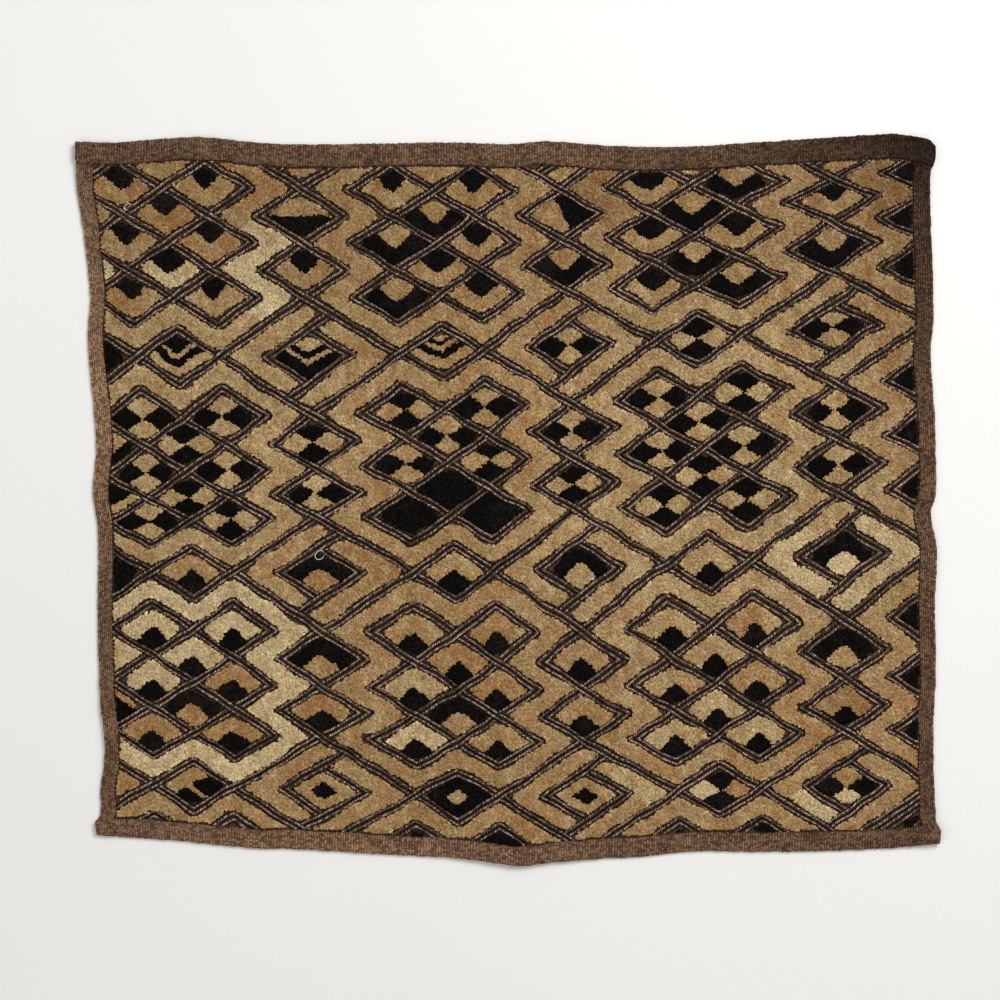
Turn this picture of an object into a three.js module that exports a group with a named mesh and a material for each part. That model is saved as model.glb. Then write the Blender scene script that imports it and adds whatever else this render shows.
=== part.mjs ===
// A cut-pile raffia cloth lying flat with its face up: one panel of woven ground whose four edges
// are turned onto the face as a hem, with short pile filling the field inside the hem.
// Millimetres, +Z up, +X along the longer side. The origin is under the middle of the cloth.
import * as THREE from "three";

// Thicknesses
const GROUND = 1.0; // woven ground under the pile
const PILE = 2.2; // cut pile standing on the ground
const HEM = 2.2; // ground turned over onto the face
const HEM_CORNER = 2.9; // corner where one hem lies over another
const FOLD_LIP = 0.9; // height of the fold's outermost line
const FOLD_ROUND = 1.6; // distance in which the fold rounds up to the hem's full height
const STEP_RUN = 1.4; // distance in which the hem steps up to the pile

// Unevenness of the pile's top, a slow roll along each side
const ROLL_HEIGHT = 0.25;
const ROLL_LENGTH_X = 150;
const ROLL_LENGTH_Y = 115;

// Stations of the surface between the two side hems and between the two end hems
const FIELD_COLUMNS = 38;
const FIELD_ROWS = 30;

// Corners of the cut outline
const TOP_LEFT = { x: -292.5, y: 243 };
const TOP_RIGHT = { x: 289.3, y: 240 };
const BOTTOM_LEFT = { x: -278, y: -227.5 };
const BOTTOM_RIGHT = { x: 292.5, y: -233 };

// The edges waver, so each is a smooth curve through a few places between its corners.
// Top and bottom run from left to right.
const TOP_EDGE = [
  { x: -266, y: 242.5 },
  { x: -240, y: 244.5 },
  { x: -210, y: 246 },
  { x: -154, y: 241.5 },
  { x: -40, y: 242.5 },
  { x: 5, y: 241.5 },
  { x: 25, y: 243.5 },
  { x: 66, y: 240.5 },
  { x: 112, y: 239.5 },
  { x: 183, y: 243.5 },
  { x: 261, y: 248 },
  { x: 274, y: 246.4 },
  { x: 285, y: 244 },
];
const BOTTOM_EDGE = [
  { x: -225, y: -231 },
  { x: -169, y: -236.5 },
  { x: -151, y: -236.5 },
  { x: -73, y: -241 },
  { x: -39, y: -242.5 },
  { x: -15, y: -245 },
  { x: 7, y: -248 },
  { x: 28, y: -246 },
  { x: 62, y: -243.3 },
  { x: 89, y: -242 },
  { x: 123, y: -238.5 },
  { x: 177, y: -238.5 },
  { x: 244, y: -237 },
];
// Left and right run from bottom to top. The bottom hem's ends stand out past the side hems.
const LEFT_EDGE = [
  { x: -279, y: -217 },
  { x: -276, y: -213.5 },
  { x: -276, y: -197 },
  { x: -273, y: -168.5 },
  { x: -276, y: -135 },
  { x: -278, y: -72 },
  { x: -277.5, y: -50 },
  { x: -278, y: -16 },
  { x: -281, y: 4 },
  { x: -279, y: 38.5 },
  { x: -284.5, y: 111 },
  { x: -283, y: 138 },
  { x: -288, y: 185.5 },
  { x: -292, y: 212.5 },
];
const RIGHT_EDGE = [
  { x: 293, y: -222.5 },
  { x: 290.5, y: -217 },
  { x: 290, y: -210.5 },
  { x: 289, y: -149 },
  { x: 290.5, y: -118.5 },
  { x: 290, y: -67 },
  { x: 291, y: -33 },
  { x: 287, y: -8 },
  { x: 290, y: 1 },
  { x: 290, y: 52 },
  { x: 287, y: 101.5 },
  { x: 289, y: 122.5 },
  { x: 286.5, y: 209 },
  { x: 286.8, y: 222 },
  { x: 289.2, y: 231 },
];

// Width of each hem at fractions of its edge, left to right or bottom to top
const HEM_WIDTHS = [
  { at: 0.0, top: 15.2, bottom: 12.8, left: 10.2, right: 10.6 },
  { at: 0.2, top: 15.8, bottom: 13.4, left: 10.0, right: 10.4 },
  { at: 0.4, top: 15.7, bottom: 13.3, left: 10.0, right: 11.7 },
  { at: 0.6, top: 16.4, bottom: 13.7, left: 11.0, right: 11.5 },
  { at: 0.8, top: 15.6, bottom: 13.2, left: 10.0, right: 12.4 },
  { at: 1.0, top: 17.4, bottom: 13.2, left: 11.4, right: 11.5 },
];

// Places where the edge doesn't lie quite flat: how high it lifts, and how far the lift reaches
const LIFTS = [
  { x: 286, y: 243, rise: 3.2, reach: 52 },
  { x: -292, y: 240, rise: 1.6, reach: 40 },
  { x: -276, y: -150, rise: 1.2, reach: 46 },
  { x: 7, y: -248, rise: 2.2, reach: 70 },
  { x: 292, y: -228, rise: 1.4, reach: 42 },
  { x: -200, y: 246, rise: 1.2, reach: 48 },
  { x: 290, y: -40, rise: 1.2, reach: 40 },
];

// A smooth edge from one corner to the other, asked for points by its fraction of length
function edgeCurve(start, places, end) {
  const points = [start, ...places, end].map(({ x, y }) => new THREE.Vector3(x, y, 0));
  const curve = new THREE.CatmullRomCurve3(points, false, "centripetal");
  curve.arcLengthDivisions = 1200;
  return curve;
}

const EDGES = {
  top: edgeCurve(TOP_LEFT, TOP_EDGE, TOP_RIGHT),
  bottom: edgeCurve(BOTTOM_LEFT, BOTTOM_EDGE, BOTTOM_RIGHT),
  left: edgeCurve(BOTTOM_LEFT, LEFT_EDGE, TOP_LEFT),
  right: edgeCurve(BOTTOM_RIGHT, RIGHT_EDGE, TOP_RIGHT),
};
const LENGTH = (EDGES.top.getLength() + EDGES.bottom.getLength()) / 2;
const DEPTH = (EDGES.left.getLength() + EDGES.right.getLength()) / 2;

// A hem's width at a fraction of its edge
function hemWidth(side, at) {
  const next = Math.max(1, HEM_WIDTHS.findIndex((row) => row.at >= at));
  const before = HEM_WIDTHS[next - 1];
  const after = HEM_WIDTHS[next];
  const share = (at - before.at) / (after.at - before.at);
  return THREE.MathUtils.lerp(before[side], after[side], share);
}

// Fractions across the cloth from one hem to the other: the lip, the rounded fold, the hem's inner
// step and the even field between
function stations(near, far, span, fieldCount) {
  const inFrom = (width) => [0, FOLD_ROUND, width - STEP_RUN / 2, width + STEP_RUN / 2];
  const start = inFrom(near).map((distance) => distance / span);
  const end = inFrom(far).map((distance) => 1 - distance / span).reverse();
  const field = [];
  for (let i = 1; i < fieldCount; i += 1) {
    field.push(THREE.MathUtils.lerp(start.at(-1), end[0], i / fieldCount));
  }
  return [...start, ...field, ...end];
}

// The plan position of fractions (p, q) inside the four edges
function planPoint(p, q) {
  const top = EDGES.top.getPointAt(p);
  const bottom = EDGES.bottom.getPointAt(p);
  const left = EDGES.left.getPointAt(q);
  const right = EDGES.right.getPointAt(q);
  const across = (key) => {
    const ends = THREE.MathUtils.lerp(bottom[key], top[key], q);
    const sides = THREE.MathUtils.lerp(left[key], right[key], p);
    const lower = THREE.MathUtils.lerp(BOTTOM_LEFT[key], BOTTOM_RIGHT[key], p);
    const upper = THREE.MathUtils.lerp(TOP_LEFT[key], TOP_RIGHT[key], p);
    return ends + sides - THREE.MathUtils.lerp(lower, upper, q);
  };
  return { x: across("x"), y: across("y") };
}

// How far the whole cloth is off the surface at a place
function liftAt(x, y) {
  let height = 0;
  for (const lift of LIFTS) {
    const near = 1 - ((x - lift.x) ** 2 + (y - lift.y) ** 2) / lift.reach ** 2;
    height += near > 0 ? lift.rise * near * near : 0;
  }
  return height;
}

// The cloth's thickness: i and j count stations in from the nearest side edge and end edge
function thicknessAt(i, j, x, y) {
  const nearest = Math.min(i, j);
  if (nearest === 0) return FOLD_LIP;
  if (nearest <= 2) return Math.max(i, j) <= 2 ? HEM_CORNER : HEM;
  const roll = Math.sin((2 * Math.PI * x) / ROLL_LENGTH_X) * Math.sin((2 * Math.PI * y) / ROLL_LENGTH_Y);
  return GROUND + PILE + ROLL_HEIGHT * roll;
}

// The closed cloth: a face and an underside on the same stations, joined round the outline
function clothGeometry() {
  const middle = 0.5;
  const rows = stations(hemWidth("bottom", middle), hemWidth("top", middle), DEPTH, FIELD_ROWS);
  const columns = stations(hemWidth("left", middle), hemWidth("right", middle), LENGTH, FIELD_COLUMNS);
  const lastColumn = columns.length - 1;
  const lastRow = rows.length - 1;
  const face = [];
  const under = [];
  for (let j = 0; j <= lastRow; j += 1) {
    const across = stations(hemWidth("left", rows[j]), hemWidth("right", rows[j]), LENGTH, FIELD_COLUMNS);
    for (let i = 0; i <= lastColumn; i += 1) {
      const at = columns[i];
      const along = stations(hemWidth("bottom", at), hemWidth("top", at), DEPTH, FIELD_ROWS);
      const { x, y } = planPoint(across[i], along[j]);
      const lift = liftAt(x, y);
      const inFromSide = Math.min(i, lastColumn - i);
      const inFromEnd = Math.min(j, lastRow - j);
      face.push(x, y, lift + thicknessAt(inFromSide, inFromEnd, x, y));
      under.push(x, y, lift);
    }
  }
  const perRow = lastColumn + 1;
  const below = perRow * (lastRow + 1);
  const triangles = [];
  const quad = (a, b, c, d) => triangles.push(a, b, c, a, c, d);
  for (let j = 0; j < lastRow; j += 1) {
    for (let i = 0; i < lastColumn; i += 1) {
      const a = j * perRow + i;
      const b = a + 1;
      const c = b + perRow;
      const d = a + perRow;
      quad(a, b, c, d);
      quad(below + d, below + c, below + b, below + a);
    }
  }
  const wall = (a, b) => quad(below + a, below + b, b, a);
  for (let i = 0; i < lastColumn; i += 1) {
    wall(i, i + 1);
    wall(lastRow * perRow + i + 1, lastRow * perRow + i);
  }
  for (let j = 0; j < lastRow; j += 1) {
    wall((j + 1) * perRow, j * perRow);
    wall(j * perRow + lastColumn, (j + 1) * perRow + lastColumn);
  }
  const geometry = new THREE.BufferGeometry();
  geometry.setAttribute("position", new THREE.Float32BufferAttribute([...face, ...under], 3));
  geometry.setIndex(triangles);
  geometry.computeBoundingBox();
  const centre = geometry.boundingBox.getCenter(new THREE.Vector3());
  geometry.translate(-centre.x, -centre.y, 0);
  geometry.computeVertexNormals();
  return geometry;
}

const raffia = new THREE.MeshStandardMaterial({ color: 0x9a7448, roughness: 0.9, metalness: 0 });
const cloth = new THREE.Mesh(clothGeometry(), raffia);
cloth.name = "raffia_cloth";

const part = new THREE.Group();
part.add(cloth);

export default part;
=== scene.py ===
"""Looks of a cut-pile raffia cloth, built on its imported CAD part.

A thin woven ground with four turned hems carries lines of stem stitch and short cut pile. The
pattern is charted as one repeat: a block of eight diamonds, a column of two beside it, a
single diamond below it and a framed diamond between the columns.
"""

import math

import bpy
import numpy as np
from bpy.props import FloatProperty, FloatVectorProperty, PointerProperty
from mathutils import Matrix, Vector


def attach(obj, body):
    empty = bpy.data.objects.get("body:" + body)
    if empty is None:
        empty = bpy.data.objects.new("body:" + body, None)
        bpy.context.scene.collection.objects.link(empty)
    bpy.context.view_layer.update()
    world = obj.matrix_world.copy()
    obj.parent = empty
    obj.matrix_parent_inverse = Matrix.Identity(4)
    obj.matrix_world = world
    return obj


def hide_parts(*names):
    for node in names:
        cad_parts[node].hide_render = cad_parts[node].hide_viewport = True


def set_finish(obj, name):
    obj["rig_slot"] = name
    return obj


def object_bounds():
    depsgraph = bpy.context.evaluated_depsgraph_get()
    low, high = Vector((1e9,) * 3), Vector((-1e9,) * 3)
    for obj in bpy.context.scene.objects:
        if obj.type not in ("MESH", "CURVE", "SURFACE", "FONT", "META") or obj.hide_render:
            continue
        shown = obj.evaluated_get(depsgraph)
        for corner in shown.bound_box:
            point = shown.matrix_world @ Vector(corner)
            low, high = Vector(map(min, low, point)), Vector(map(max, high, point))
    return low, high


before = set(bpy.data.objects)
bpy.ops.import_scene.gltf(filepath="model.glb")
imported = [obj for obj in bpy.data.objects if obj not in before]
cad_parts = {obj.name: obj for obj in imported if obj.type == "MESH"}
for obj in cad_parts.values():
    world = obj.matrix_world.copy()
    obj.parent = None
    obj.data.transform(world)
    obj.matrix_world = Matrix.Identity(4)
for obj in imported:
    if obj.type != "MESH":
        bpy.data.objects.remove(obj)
CAD_LOW, CAD_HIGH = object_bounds()

bl_info = {
    "name": "Cut-pile raffia cloth",
    "version": (1, 0, 0),
    "blender": (4, 5, 0),
    "location": "3D View > Sidebar > Raffia",
    "description": "Builds the looks of a cut-pile raffia cloth on its CAD part",
    "category": "Object",
}

# Plain measures are in millimetres, as in the part's source, and meshes are made in metres
MM = 0.001
SEED = 71

# Outline of the cloth, the same corners and edge places as the CAD solid
TOP_LEFT = (-292.5, 243)
TOP_RIGHT = (289.3, 240)
BOTTOM_LEFT = (-278, -227.5)
BOTTOM_RIGHT = (292.5, -233)
TOP_EDGE = [
    (-266, 242.5), (-240, 244.5), (-210, 246), (-154, 241.5), (-40, 242.5), (5, 241.5), (25, 243.5),
    (66, 240.5), (112, 239.5), (183, 243.5), (261, 248), (274, 246.4), (285, 244),
]
BOTTOM_EDGE = [
    (-225, -231), (-169, -236.5), (-151, -236.5), (-73, -241), (-39, -242.5), (-15, -245), (7, -248),
    (28, -246), (62, -243.3), (89, -242), (123, -238.5), (177, -238.5), (244, -237),
]
LEFT_EDGE = [
    (-279, -217), (-276, -213.5), (-276, -197), (-273, -168.5), (-276, -135), (-278, -72), (-277.5, -50),
    (-278, -16), (-281, 4), (-279, 38.5), (-284.5, 111), (-283, 138), (-288, 185.5), (-292, 212.5),
]
RIGHT_EDGE = [
    (293, -222.5), (290.5, -217), (290, -210.5), (289, -149), (290.5, -118.5), (290, -67), (291, -33),
    (287, -8), (290, 1), (290, 52), (287, 101.5), (289, 122.5), (286.5, 209), (286.8, 222), (289.2, 231),
]

# Hem widths, and how light each hem is, at these fractions of its edge, left to right or bottom to top.
# The lightness is each hem's own tone with painted shade that darkens the hems towards the upper right
# corner
HEM_AT = (0.0, 0.2, 0.4, 0.6, 0.8, 1.0)
HEM_WIDTH = {
    "top": (15.2, 15.8, 15.7, 16.4, 15.6, 17.4),
    "bottom": (12.8, 13.4, 13.3, 13.7, 13.2, 13.2),
    "left": (10.2, 10.0, 10.0, 11.0, 10.0, 11.4),
    "right": (10.6, 10.4, 11.7, 11.5, 12.4, 11.5),
}
HEM_TONE_AND_SHADE = {
    "top": (0.72, 0.79, 0.76, 0.81, 0.46, 0.14),
    "bottom": (0.97, 1.26, 1.29, 0.95, 0.94, 0.77),
    "left": (1.07, 0.93, 1.02, 1.57, 1.38, 0.84),
    "right": (0.59, 0.8, 0.79, 0.7, 0.42, 0.24),
}

# How much of each hem keeps its leaf colour
HEM_LEAF = {"top": 0.4, "bottom": 0.35, "left": 0.5, "right": 0.1}

# Places where the cloth doesn't lie quite flat: x, y, how high it lifts and how far the lift reaches
LIFTS = [
    (286, 243, 3.2, 52),
    (-292, 240, 1.6, 40),
    (-276, -150, 1.2, 46),
    (7, -248, 2.2, 70),
    (292, -228, 1.4, 42),
    (-200, 246, 1.2, 48),
    (290, -40, 1.2, 40),
]

# Pattern measures. In the chart u grows down and right and v grows up and right, by one for each
# diamond's side. A band is this share of a side wide, and ACROSS and DOWN are the repeat's steps
BAND = 0.58
ACROSS = 2 + 2 * BAND
DOWN = 3 + 2 * BAND

# Millimetres of one chart unit, straight across a line and along it
UNIT = 31.0
SIDE = 33.7

# Repeats that may reach the cloth, counted from the first whole block
REPEATS_ACROSS = range(-1, 4)
REPEATS_DOWN = range(-1, 4)

# Diamond centres of one repeat, from the middle of its block
BLOCK = (
    (-1.5, 0.5), (-0.5, -0.5), (0.5, -1.5),
    (-0.5, 0.5), (0.5, -0.5),
    (-0.5, 1.5), (0.5, 0.5), (1.5, -0.5),
)
COLUMN = ((0.5 + BAND, 1.5 + BAND), (1.5 + BAND, 0.5 + BAND))
SINGLE = ((1.5 + BAND, -1.5 - BAND),)
FRAMED = ((2.5 + 2 * BAND, -0.5),)
KINDS = {"block": BLOCK, "column": COLUMN, "single": SINGLE, "framed": FRAMED}

# Motif and tone of each diamond: block, column, single and framed, by repeat across and down.
# Tones: 0 gold, 1 orange, 2 pale, 3 brown, 4 pale gold, 5 bleached gold
BLACK_BLOCK = " ".join(["s0"] * len(BLOCK))
CHART = {
    (0, 0): ("v1 v0 v1 v1 V2 v0 v1 v0", "h0 v0", "n0", "c0"),
    (1, 0): ("v0 w0 w0 w0 V0 v0 V0 V0", "l0 w0", "f0", "g0"),
    (2, 0): ("V0 V0 V0 w0 w0 w0 V0 w0", "v0 w0", "k0", "g0"),
    (0, 1): ("g0 g0 g0 k0 k0 g0 g0 k0", "k0 g0", "a1", "m1"),
    (1, 1): ("k0 g0 s0 g0 s0 g0 k0 s0", "g0 k0", "A0", "m0"),
    (2, 1): ("g0 g0 k0 g0 k0 k0 g0 k0", "g0 g0", "a0", "m2"),
    (0, 2): ("a2 a2 a1 a2 m1 a2 A1 A1", "m0 A1", "i0", "e0"),
    (1, 2): ("a0 a4 a2 a1 m1 a1 a1 a0", "a0 a0", "o0", "e0"),
    (2, 2): ("a0 a0 a4 a0 a4 a1 a1 a4", "m0 a3", "k2", "g2"),
    (-1, 0): (BLACK_BLOCK, "p0 p2", "s0", "s0"),
    (-1, 1): (BLACK_BLOCK, "d0 q0", "s0", "s0"),
    (-1, 2): (BLACK_BLOCK, "p2 j1", "s0", "p0"),
}
CHART_EDGE = (BLACK_BLOCK, "s0 s0", "s0", "v0")

# Bands round a diamond that aren't gold: kind, repeat, tone, and where from the diamond's middle
BAND_TONES = (
    ("block", (0, 2), 2, lambda u, v: np.full(u.shape, True)),
    ("framed", (2, 1), 5, lambda u, v: (u > -0.5) | (v < 0.1)),
    ("framed", (2, 2), 2, lambda u, v: (v < -0.5) & (np.abs(u) < 0.55)),
    ("framed", (1, 2), 4, lambda u, v: (v > 0.5) & (u > -0.1)),
    ("framed", (0, 1), 1, lambda u, v: (v > 0.5) | (u < -0.5)),
)

# Diamonds of two tones: kind, repeat, the second tone and where it lies
SECOND_TONES = (
    ("single", (2, 2), 1, lambda u, v: u + v > 0),
    ("framed", (2, 2), 0, lambda u, v: v > u),
)

# Round patches of another tone in the bands: x, y, reach and tone
PATCHES = (
    (-161, 160, 34, 2),
    (-175, 222, 28, 1),
    (8, 38, 30, 1),
    (56, 213, 22, 3),
    (261, 211, 26, 3),
)

# Where the pattern's middles lie on the cloth: x and y at each half repeat across, and a row for each
# half repeat down. PLACE_STEP is that half
PLACES_X = np.array([
    (-230.0, -139.0, -48.0, 37.5, 126.0, 219.0),
    (-222.5, -135.0, -44.0, 42.0, 128.5, 221.5),
    (-217.0, -130.0, -40.0, 44.5, 132.0, 223.5),
    (-213.5, -127.0, -36.0, 48.0, 136.0, 227.0),
    (-213.0, -126.0, -33.5, 51.0, 141.0, 228.0),
    (-212.5, -125.0, -33.0, 53.0, 144.0, 230.0),
])
PLACES_Y = np.array([
    (174.5, 174.0, 174.0, 176.0, 180.0, 188.0),
    (97.0, 97.0, 100.5, 104.5, 109.5, 116.5),
    (19.0, 21.5, 25.5, 29.0, 35.0, 42.0),
    (-49.0, -49.0, -49.0, -46.0, -42.5, -37.0),
    (-123.5, -126.0, -128.5, -128.0, -124.0, -121.0),
    (-193.5, -197.0, -200.5, -200.0, -196.0, -194.0),
])
PLACE_STEP = 0.5

# Rows of stitches across one line: offset from its middle, width, and whether it is dark; and half
# the width of the whole line. The outer dark rows are widened to stand partly for painted shade in
# the gap between a line and the pile
ROWS = [
    (-3.05, 1.15, True),
    (-1.8, 1.95, False),
    (0.0, 1.5, True),
    (1.8, 1.95, False),
    (3.05, 1.15, True),
]
HALF_LINE = 3.4

# Share of a full mitre that a row runs to where two lines meet in a corner, and how much closer pile
# stands past a line's end than beside the line
MITRE = 0.9
PAST_END = 1.4

# How far the pile's edge stays from the middle of a line, how much farther a tuft's root stays,
# how far roots stay from the inner edge of a hem, how sharply pile turns a corner, and the least
# distance to a line that counts
STRAW_EDGE = 3.1
BLACK_EDGE = 2.9
ROOT_IN = 0.55
HEM_CLEAR = 1.6
CORNER_POWER = 2.6
LEAST_DISTANCE = 0.5

# Loose ends of split leaf on the face: x, y, half width, half depth, turn, share of a loop and height
LOOSE_FIBRES = (
    (-257.0, 198.5, 2.9, 1.7, 0.5, 0.7, 2.3),
    (-127.0, -37.2, 3.5, 2.7, 0.7, 0.86, 3.4),
)

# Which line lies on top where two lines cross inside their lengths
ON_TOP = {
    ("upper_left", "upper_right"): "v",
    ("upper_left", "lower_left"): "u",
    ("lower_right", "upper_right"): "u",
    ("lower_right", "lower_left"): "v",
    ("column", "column"): "v",
}


def length_property(name, description, default, low, high):
    """A length that a user may change between two limits."""
    return FloatProperty(
        name=name, description=description, default=default, min=low, max=high, unit="LENGTH"
    )


class RaffiaSizes(bpy.types.PropertyGroup):
    """Sizes of the cloth's ground, hems, stitches and pile"""

    ground_thickness: length_property(
        "Ground thickness", "Thickness of the woven ground", 0.001, 0.0005, 0.002
    )
    hem_height: length_property(
        "Hem height", "Height of the turned hem's face above its underside", 0.00205, 0.0015, 0.003
    )
    hem_corner: length_property(
        "Hem corner rise", "How much higher an end hem lies over a side hem", 0.0007, 0.0, 0.0015
    )
    rib_pitch: length_property(
        "Rib pitch", "Distance between the woven ribs of an end hem", 0.0018, 0.0012, 0.004
    )
    bead_pitch: length_property(
        "Bead pitch", "Length of one over or under of a rib of the hem", 0.0013, 0.0008, 0.003
    )
    rib_height: length_property("Rib height", "Height of the woven ribs of the hem", 0.0003, 0.0, 0.0006)
    dark_pitch: length_property(
        "Dark stitch pitch", "Distance between stitches in a dark row", 0.0026, 0.0018, 0.006
    )
    light_pitch: length_property(
        "Light stitch pitch", "Distance between stitches in a light row", 0.00135, 0.001, 0.006
    )
    stitch_height: length_property(
        "Stitch height", "Height of a stitch above the ground", 0.0009, 0.0003, 0.0015
    )
    tuft_pitch: length_property("Tuft pitch", "Distance between the pile's tufts", 0.00128, 0.0012, 0.004)
    tuft_radius: length_property("Tuft radius", "Radius of a tuft where it spreads", 0.00175, 0.0004, 0.003)
    pile_height: length_property(
        "Pile height", "Height of the cut pile above the ground", 0.0022, 0.001, 0.004
    )


def colour_property(name, description, default):
    """A linear colour that a user may change."""
    return FloatVectorProperty(
        name=name, description=description, default=default, size=3, min=0.0, max=1.0, subtype="COLOR"
    )


class RaffiaColours(bpy.types.PropertyGroup):
    """Colours of the cloth's dyes, threads and weave, and of the floor"""

    straw_gold: colour_property("Straw gold", "Most of the undyed pile", (0.315, 0.196, 0.083))
    straw_orange: colour_property("Straw orange", "Warmer undyed pile", (0.292, 0.143, 0.049))
    straw_pale: colour_property("Straw pale", "Bleached undyed pile", (0.54, 0.42, 0.23))
    pile_black: colour_property("Black pile", "Pile dyed black", (0.0031, 0.0027, 0.0023))
    pile_rust: colour_property("Worn black pile", "Black pile gone brown", (0.012, 0.0092, 0.0076))
    # Partly painted shade: the dark thread is near black, so that the outer dark rows also stand for the
    # shade beside the pile
    stitch_dark: colour_property("Dark stitch", "Dark rows of the lines", (0.005, 0.0031, 0.0024))
    stitch_brown: colour_property("Worn dark stitch", "Dark stitches gone brown", (0.017, 0.0098, 0.0068))
    stitch_light: colour_property("Light stitch", "Light rows of the lines", (0.275, 0.196, 0.157))
    stitch_olive: colour_property("Worn light stitch", "Light stitches gone olive", (0.2, 0.147, 0.1))
    hem_light: colour_property("Hem light", "Threads of the hem that pass over", (0.22, 0.136, 0.079))
    # Painted shade: the threads that pass under are the hem's own raffia, darkened as in the weave's
    # hollows
    hem_dark: colour_property("Hem dark", "Threads of the hem that pass under", (0.038, 0.013, 0.006))
    hem_olive: colour_property("Hem olive", "Parts of the hem still leaf-coloured", (0.13, 0.089, 0.042))
    hem_plum: colour_property("Hem plum", "Parts of the hem that took up dye", (0.118, 0.056, 0.045))
    ground_light: colour_property("Ground light", "Threads of the woven ground", (0.17, 0.098, 0.053))
    # Painted shade: the hollows of the ground are its own raffia, darkened
    ground_dark: colour_property("Ground dark", "Hollows of the woven ground", (0.05, 0.029, 0.017))
    fibre_pale: colour_property("Loose fibre", "Split ends of leaf on the face", (0.6, 0.57, 0.48))
    floor_pale: colour_property("Floor", "Plain pale floor", (0.8, 0.79, 0.775))


def smooth_step(low, high, value):
    """0 below low, 1 above high and smooth between."""
    share = np.clip((value - low) / (high - low), 0, 1)
    return share * share * (3 - 2 * share)


def slow_noise(x, y, wavelength, seed):
    """Smooth seeded unevenness over the cloth, about -1 to 1, from a few crossing waves."""
    chance = np.random.default_rng(seed)
    total = np.zeros(np.broadcast(x, y).shape)
    waves = 7
    for _ in range(waves):
        turn = chance.uniform(0, 2 * math.pi)
        count = 2 * math.pi / (wavelength * chance.uniform(0.7, 1.5))
        phase = chance.uniform(0, 2 * math.pi)
        total = total + np.sin(count * (x * math.cos(turn) + y * math.sin(turn)) + phase)
    return total / math.sqrt(waves)


def uneven(x, y, middle, *waves):
    """A middle value with slow noise on it, each wave given as height, length and step from the seed."""
    total = middle
    for height, wavelength, seed_step in waves:
        total = total + height * slow_noise(x, y, wavelength, SEED + seed_step)
    return total


def edge_points(start, places, end):
    """The smooth centripetal curve through an edge's places, as many points."""
    given = np.array([start, *places, end], float)
    ends_out = [2 * given[0] - given[1], 2 * given[-1] - given[-2]]
    points = np.vstack([ends_out[0], given, ends_out[1]])
    points_a_piece = 40
    share = np.linspace(0, 1, points_a_piece, endpoint=False)[:, None]
    pieces = []
    for k in range(1, len(points) - 2):
        before, first, second, after = points[k - 1 : k + 3]
        pairs = ((before, first), (first, second), (second, after))
        near, middle, far = (math.sqrt(math.dist(a, b)) for a, b in pairs)
        onward = (second - first) / middle
        leave = (first - before) / near - (second - before) / (near + middle) + onward
        arrive = onward - (after - first) / (middle + far) + (after - second) / far
        leave = leave * middle
        arrive = arrive * middle
        cubic = 2 * first - 2 * second + leave + arrive
        square = -3 * first + 3 * second - 2 * leave - arrive
        pieces.append(cubic * share**3 + square * share**2 + leave * share + first)
    return np.vstack([*pieces, given[-1:]])


RAW_EDGES = {
    "top": edge_points(TOP_LEFT, TOP_EDGE, TOP_RIGHT),
    "bottom": edge_points(BOTTOM_LEFT, BOTTOM_EDGE, BOTTOM_RIGHT),
    "left": edge_points(BOTTOM_LEFT, LEFT_EDGE, TOP_LEFT),
    "right": edge_points(BOTTOM_RIGHT, RIGHT_EDGE, TOP_RIGHT),
}
RAW_OUTLINE = np.vstack(list(RAW_EDGES.values()))
CAD_MIDDLE = (np.array(CAD_LOW[:2]) + np.array(CAD_HIGH[:2])) / 2 / MM
SHIFT = CAD_MIDDLE - (RAW_OUTLINE.min(0) + RAW_OUTLINE.max(0)) / 2
EDGES = {side: points + SHIFT for side, points in RAW_EDGES.items()}
END_HEMS = ("top", "bottom")


def edge_at(side, place):
    """y of an end edge at x, or x of a side edge at y."""
    points = EDGES[side]
    if side in END_HEMS:
        return np.interp(place, points[:, 0], points[:, 1])
    return np.interp(place, points[:, 1], points[:, 0])


def along_hem(side, place, values):
    """A hem's value at x along an end edge or y along a side edge."""
    points = EDGES[side]
    run = points[:, 0] if side in END_HEMS else points[:, 1]
    share = (place - run[0]) / (run[-1] - run[0])
    return np.interp(share, HEM_AT, values[side])


# Sign of the way from each edge into the cloth
INWARD = {"top": -1, "bottom": 1, "left": 1, "right": -1}


def inner_edge(side, place):
    """Where a hem ends and the field begins."""
    return edge_at(side, place) + INWARD[side] * along_hem(side, place, HEM_WIDTH)


def inside_field(x, y, margin):
    """True where a place is inside all four hems by the margin."""
    return (
        (y < inner_edge("top", x) - margin)
        & (y > inner_edge("bottom", x) + margin)
        & (x > inner_edge("left", y) + margin)
        & (x < inner_edge("right", y) - margin)
    )


def lift_at(x, y):
    """How far the cloth is off the surface at a place."""
    height = np.zeros(np.broadcast(x, y).shape)
    for lift_x, lift_y, rise, reach in LIFTS:
        near = 1 - ((x - lift_x - SHIFT[0]) ** 2 + (y - lift_y - SHIFT[1]) ** 2) / reach**2
        height = height + rise * np.clip(near, 0, None) ** 2
    return height


def edge_share(side, share):
    """Points at fractions of an edge's length."""
    points = EDGES[side]
    steps = np.linalg.norm(np.diff(points, axis=0), axis=1)
    run = np.concatenate([[0], np.cumsum(steps)])
    run = run / run[-1]
    return np.stack([np.interp(share, run, points[:, k]) for k in range(2)], axis=-1)


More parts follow.
